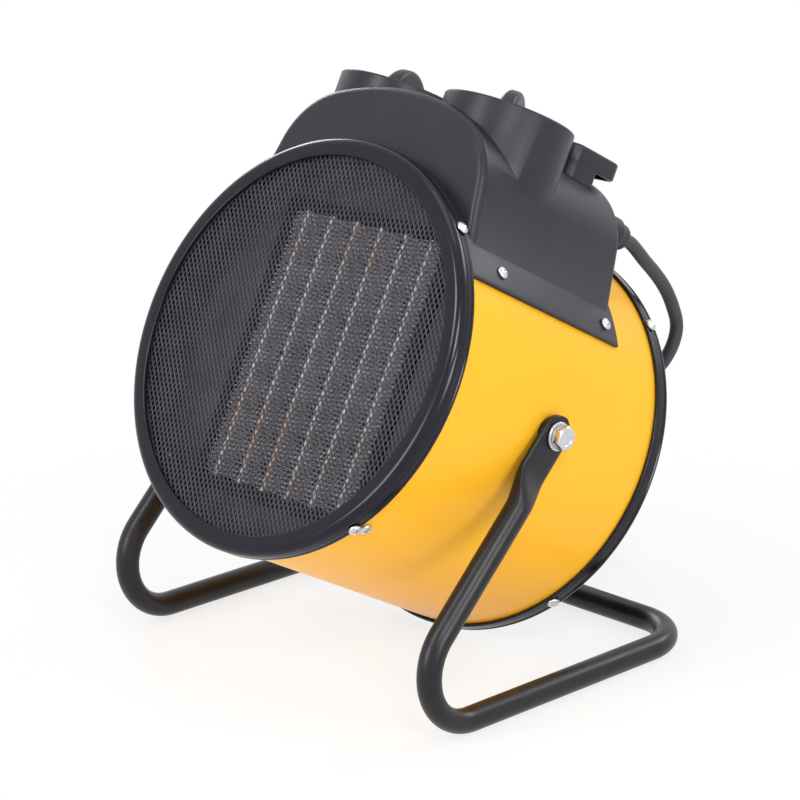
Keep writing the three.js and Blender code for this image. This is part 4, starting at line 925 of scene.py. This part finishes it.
def control_knob(name, x, turn):
    """A round skirt under a wide flat grip with a round top."""
    z0 = KNOB_FLOOR
    outline = [(0, z0, 0), (29, z0, 0.6), (29, z0 + 5.2, 1.6), (26.6, SKIRT_TOP, 1.4),
               (0, SKIRT_TOP, 0)]
    skirt = turned(name, fillet(outline, steps=4), sides=120)
    middle = GRIP_TOP - GRIP_R
    rows = []
    for k in range(9):
        a = math.pi / 2 * k / 8
        y = GRIP_THICK / 2 - GRIP_EDGE * (1 - math.cos(a))
        r = GRIP_R - GRIP_EDGE * (1 - math.sin(a))
        outline = [(-r, z0 + 3), (r, z0 + 3)] + arc(0, middle, r, 0, math.pi, 40)
        rows.append([(px, y, pz) for px, pz in outline])
    rows += [[(px, -y, pz) for px, y, pz in row] for row in rows[::-1]]
    drafted = [[(px, y * (1 - GRIP_DRAFT * smoothstep(pz, z0 + 6, GRIP_TOP)), pz)
                for px, y, pz in row] for row in rows]
    boolean(skirt, "UNION", loft("grip", drafted, spun(turn)))
    boolean(skirt, "DIFFERENCE", turned("spindle_room", rod(3.3, z0 - 5, z0 + 14.3), sides=32))
    return at_well(skirt, x)


def pointer(name, x, turn):
    """A thin printed line from the grip's end down to the skirt's edge."""
    outline = [(25.3, -0.7), (27.2, -0.7), (27.2, 0.7), (25.3, 0.7)]
    line = prism(name, outline, SKIRT_TOP - 0.3, SKIRT_TOP + 0.05, spun(turn))
    return at_well(line, x)


for word, x, turn in (("thermostat", WELL_X, 121), ("mode", -WELL_X, 106)):
    piece(control_knob(f"{word}_control_knob", x, turn), "black_plastic", f"{word}_knob",
          f"{word}_knob", sharp=40)
    piece(pointer(f"{word}_pointer", x, turn), "white_print", f"{word}_knob")

# ---- Screws, bolts, washers ----

def screw_master():
    """A pan-head screw that stands on Z, its head's seat at the origin."""
    head, rise = 3.8, 2.5
    profile = [(0, -8), (1.45, -6), (1.45, 0), (head - 0.2, 0), (head, 0.2), (head, 0.75)]
    for k in range(1, 9):
        a = math.pi / 2 * k / 8
        profile.append((head * math.cos(a), 0.75 + (rise - 0.75) * math.sin(a)))
    profile[-1] = (0, rise)
    body = lathe("screw_master", profile, 40, FLOOR @ Matrix.Rotation(math.pi / 2, 4, "X"))
    for turn in (0, 90):
        arm = loft("recess", [[Vector((x * w, y * t, z)) for x, y in
                               ((-1, -1), (1, -1), (1, 1), (-1, 1))]
                              for z, w, t in ((0.9, 0.7, 0.3), (3.2, 2.3, 0.62))],
                   FLOOR @ Matrix.Rotation(math.radians(turn), 4, "Z"))
        boolean(body, "DIFFERENCE", arm)
    return body


master = screw_master()


def radial_screw(node, seat, angle, ahead, spin):
    """A screw that points at the drum's axis, at an angle from the top of the drum."""
    copy = bpy.data.objects.new(node + "_pan_head", master.data.copy())
    scene.collection.objects.link(copy)
    inner = (Matrix.Rotation(math.radians(angle), 4, "Y")
             @ Matrix.Translation((0, -ahead, seat + GAP))
             @ Matrix.Rotation(math.radians(spin), 4, "Z"))
    copy.data.transform(TILTED @ inner @ FLOOR.inverted())
    return piece(copy, "zinc", "heater", node, sharp=35)


front_screw_ahead = FACE_AHEAD - (FRONT_RING_LENGTH + 1.8 + 5) / 2
rear_screw_ahead = -FACE_BEHIND + (REAR_RING_LENGTH + 3) / 2
for i, angle in enumerate((45, -45, 135, -135)):
    radial_screw(f"front_ring_screw_{i + 1}", DRUM_R + 3.5, angle, front_screw_ahead, 20 + 47 * i)
    radial_screw(f"rear_ring_screw_{i + 1}", DRUM_R + 2.3, angle, rear_screw_ahead, 35 + 61 * i)
baffle_screw_ahead = FACE_AHEAD - 20
for i, angle in enumerate((135, -135)):
    radial_screw(f"baffle_screw_{i + 1}", DRUM_R, angle, baffle_screw_ahead, 10 + 30 * i)
housing_screws = [(a, d) for a in (53.3, -53.3) for d in (58.5, -41.1)]
for i, (angle, ahead) in enumerate(housing_screws):
    radial_screw(f"housing_screw_{i + 1}", DRUM_R + GAP + FOOT_SHEET, angle, ahead, 15 + 52 * i)
bpy.data.objects.remove(master)


def sideways(sign):
    """Turns the Y axis to point out of the drum's side, along the tilt axis."""
    return TILTED @ Matrix.Rotation(-sign * math.pi / 2, 4, "Z")


def pivot_bolt(word, sign):
    """A hex bolt whose head sits on the washer outside the ear."""
    seat, across, height = BOLT_SEAT, 13, 5.6
    inner_end, shank_r = 108.5, 4
    reach = across / math.sqrt(3)
    spot = sideways(sign)
    hexagon = arc(0, 0, reach, 0.35, 0.35 + math.pi * 5 / 3, 5)
    head = prism_along_y(f"pivot_bolt_{word}_hex", hexagon, seat, seat + height, spot)
    dome = [(0, seat - 1), (reach + 1, seat - 1), (reach + 1, seat + 3.2),
            (across / 2 - 0.2, seat + height), (0, seat + height)]
    boolean(head, "INTERSECT", lathe("dome", dome, 96, spot))
    bevel(head, 0.25, 2, 25)
    dish = [(0, seat + height - 0.35), (3.9, seat + height - 0.35),
            (4.5, seat + height + 0.3), (0, seat + height + 0.3)]
    boolean(head, "DIFFERENCE", lathe("dish", dish, 64, spot))
    shank = [(0, inner_end), (shank_r - 0.5, inner_end), (shank_r, inner_end + 0.7),
             (shank_r, seat + 0.4), (0, seat + 0.4)]
    return boolean(head, "UNION", lathe("shank", shank, 48, spot))


def disc(name, radius, start, thick, sign, soft):
    """A washer or spacer on a tilt bolt."""
    hole = 4.3
    profile = fillet([(hole, start, 0), (radius, start, soft), (radius, start + thick, soft),
                      (hole, start + thick, soft)], steps=3)
    return lathe(name, profile, 72, sideways(sign))


for sign, word in ((1, "right"), (-1, "left")):
    piece(pivot_bolt(word, sign), "zinc", "heater", f"pivot_bolt_{word}", sharp=28)
    washer = disc(f"pivot_washer_{word}_ring", 8.5, EAR_OUTSIDE + GAP, WASHER_THICK, sign, 0.4)
    piece(washer, "zinc", "heater", f"pivot_washer_{word}")
    spacer = disc(f"pivot_spacer_{word}_ring", 10, DRUM_R + GAP, SPACER_THICK, sign, 0.3)
    piece(spacer, "insulator", "heater", f"pivot_spacer_{word}")

# ---- Cable gland and plug ----

def gland():
    """A gland with a ribbed nut and a soft tip round the cord."""
    y = HOUSE_REAR + GAP
    neck, nut, tip, ribs = 6, 10, 6.3, 18
    outline = [(0, y - 12, 0), (neck, y - 12, 0.6), (neck, y, 0), (nut, y, 0.8),
               (nut, y + 13, 1.0), (nut - 1.4, y + 15.5, 1.2), (tip + 1.7, y + 21.5, 1.5),
               (tip, y + GLAND_LENGTH, 1.0), (4.3, y + GLAND_LENGTH, 0.4),
               (4.3, y + GLAND_LENGTH - 3, 0), (0, y + GLAND_LENGTH - 3, 0)]
    spot = TILTED @ Matrix.Translation((GLAND_X, 0, GLAND_Z))
    body = lathe("cable_gland_body", fillet(outline, closed=False, steps=5), 144, spot)
    inverse = spot.inverted()
    for vert in body.data.vertices:
        p = inverse @ vert.co
        r = math.hypot(p.x, p.z)
        if r > nut - 1.5 and y < p.y < y + 13.5:
            ridge = 0.5 * (0.5 - 0.5 * math.cos(ribs * math.atan2(p.x, p.z)))
            fade = smoothstep(p.y, y + 1.2, y + 2.2) * (1 - smoothstep(p.y, y + 11.4, y + 12.6))
            p.x *= 1 - ridge * fade / r
            p.z *= 1 - ridge * fade / r
            vert.co = spot @ p
    return body


piece(gland(), "black_plastic", "heater", "cable_gland", sharp=40)


PLUG_R, PLUG_LENGTH, PLUG_FACE = 18.6, 52, 17
plug_along = (coil[-1] - coil[-2]).normalized()
plug_turn = Vector((0, 1, 0)).rotation_difference(plug_along).to_matrix().to_4x4()
plug_place = FLOOR @ Matrix.Translation(coil[-1] + plug_along * GAP) @ plug_turn


def relief(y):
    """Rings moulded into the plug's neck and ribs round its grip."""
    neck = 0.5 - 0.5 * math.cos(2 * math.pi * y / 2.6) if 2 < y < 15 else 0
    grip = 0.5 - 0.5 * math.cos(2 * math.pi * y / 3.2) if 24 < y < 34 else 0
    return neck + grip


def plug_body():
    collar = PLUG_LENGTH - PLUG_FACE
    outline = [(0, 0, 0), (5.6, 0, 0.8), (6.6, 3, 1), (8.4, 16, 5), (12.5, 23, 4),
               (PLUG_R - 2.2, collar, 3), (PLUG_R, collar + 3, 1.5), (PLUG_R, PLUG_LENGTH, 1.4),
               (0, PLUG_LENGTH, 0)]
    profile = fillet(outline, closed=False, steps=5)
    dense = []
    for (r0, y0), (r1, y1) in zip(profile, profile[1:]):
        steps = max(1, round(abs(y1 - y0) / 0.6))
        dense += [(r0 + (r1 - r0) * k / steps, y0 + (y1 - y0) * k / steps) for k in range(steps)]
    dense.append(profile[-1])
    body = lathe("mains_plug", [(r - 0.45 * relief(y), y) if r > 4 else (r, y)
                                for r, y in dense], 72, plug_place)
    for side in (1, -1):
        socket = lathe("socket", rod(2.7, PLUG_LENGTH - 8.3, PLUG_LENGTH + 5), 24,
                       plug_place @ Matrix.Translation((side * PIN_X, 0, 0)))
        boolean(body, "DIFFERENCE", socket)
    return body


plug = piece(plug_body(), "rubber", "stand", "plug_body", sharp=40)


def plug_pin(number, side):
    """A turned pin with a round end, standing in the plug's face."""
    profile = fillet([(0, 44, 0), (2.35, 44, 0.3), (2.35, 70.9, 2.1), (0, 70.9, 0)], closed=False)
    return lathe(f"mains_pin_{number}", profile, 40,
                 plug_place @ Matrix.Translation((side * PIN_X, 0, 0)))


pins = [piece(plug_pin(number, side), "brass", "stand", f"plug_pin_{number}", sharp=40)
        for number, side in ((1, 1), (2, -1))]

# ---- Light and floor ----

# Each lamp's place and aim in metres, its size and its power in watts.
LAMPS = {
    "key": ((1.4, -0.85, 1.5), (0, 0, 0.15), (0.5, 0.5), 12),
    "front": ((-0.4, -2.2, 0.8), (0, 0, 0.15), (0.8, 0.8), 16),
    "side": ((2.1, -0.2, 0.65), (0, 0, 0.15), (0.8, 0.6), 15),
    "rear": ((0.7, 2.0, 1.4), (0, 0, 0.15), (1.0, 0.6), 12),
    "left": ((-1.9, 0.7, 1.1), (0, 0, 0.15), (0.8, 0.6), 11),
    "top": ((0.1, 0.1, 2.2), (0, 0, 0.1), (1.0, 1.0), 5),
    "brow": ((-0.3, -1.55, 1.7), (0, 0, 0.2), (0.5, 0.5), 11),
}
for name, (spot, target, size, power) in LAMPS.items():
    data = bpy.data.lights.new(name, "AREA")
    data.shape = "RECTANGLE"
    data.size, data.size_y = size
    data.energy = power
    lamp = bpy.data.objects.new(name, data)
    lamp.location = spot
    aim = Vector(target) - Vector(spot)
    lamp.rotation_euler = aim.to_track_quat("-Z", "Y").to_euler()
    scene.collection.objects.link(lamp)


def seen(tree):
    """1 where a camera, mirror or glass ray arrives, and 0 for the light on surfaces."""
    paths = add(tree, "LightPath", {})
    share = paths.outputs["Is Camera Ray"]
    for ray in ("Is Glossy Ray", "Is Transmission Ray"):
        either = add(tree, "Math", {0: share, 1: paths.outputs[ray]}, operation="MAXIMUM")
        share = either.outputs[0]
    return share


def studio_world():
    """An even light of its own, and plain white wherever it is seen."""
    world = bpy.data.worlds.new("world")
    world.use_nodes = True
    tree = world.node_tree
    ambient = fill(tree, tree.nodes["Background"], {"Color": WHITE, "Strength": 0.38})
    backdrop = add(tree, "Background", {"Color": WHITE, "Strength": 1.0})
    chooser = add(tree, "MixShader", {"Fac": seen(tree), 1: ambient.outputs[0],
                                      2: backdrop.outputs[0]})
    fill(tree, tree.nodes["World Output"], {"Surface": chooser.outputs[0]})
    return world


def floor_material():
    """A pale floor that keeps the object's shadow and turns white further away."""
    mat = bpy.data.materials.new("floor")
    mat.use_nodes = True
    tree = mat.node_tree
    pale = fill(tree, tree.nodes["Principled BSDF"], {
        "Base Color": (0.9, 0.9, 0.9, 1), "Roughness": 0.9, "Specular IOR Level": 0.2})
    white = add(tree, "Emission", {"Color": WHITE, "Strength": 1.0})
    coords = add(tree, "TexCoord", {}).outputs["Object"]
    distance = add(tree, "VectorMath", {0: coords}, operation="LENGTH").outputs["Value"]
    fade = add(tree, "MapRange", {"Value": distance, "From Min": 0.16, "From Max": 0.5,
                                  "To Min": 0.78, "To Max": 1.0},
               interpolation_type="SMOOTHSTEP").outputs["Result"]
    amount = add(tree, "Math", {0: fade, 1: seen(tree)}, operation="MULTIPLY").outputs[0]
    blend = add(tree, "MixShader", {"Fac": amount, 1: pale.outputs["BSDF"],
                                    2: white.outputs["Emission"]})
    fill(tree, tree.nodes["Material Output"], {"Surface": blend.outputs[0]})
    return mat


scene.world = studio_world()
floor = mesh_object("studio_floor", [(-4, -4, 0), (4, -4, 0), (4, 4, 0), (-4, 4, 0)],
                    [[0, 1, 2, 3]], Matrix.Translation((0, 0, -0.0002)))
floor.data.materials.append(floor_material())
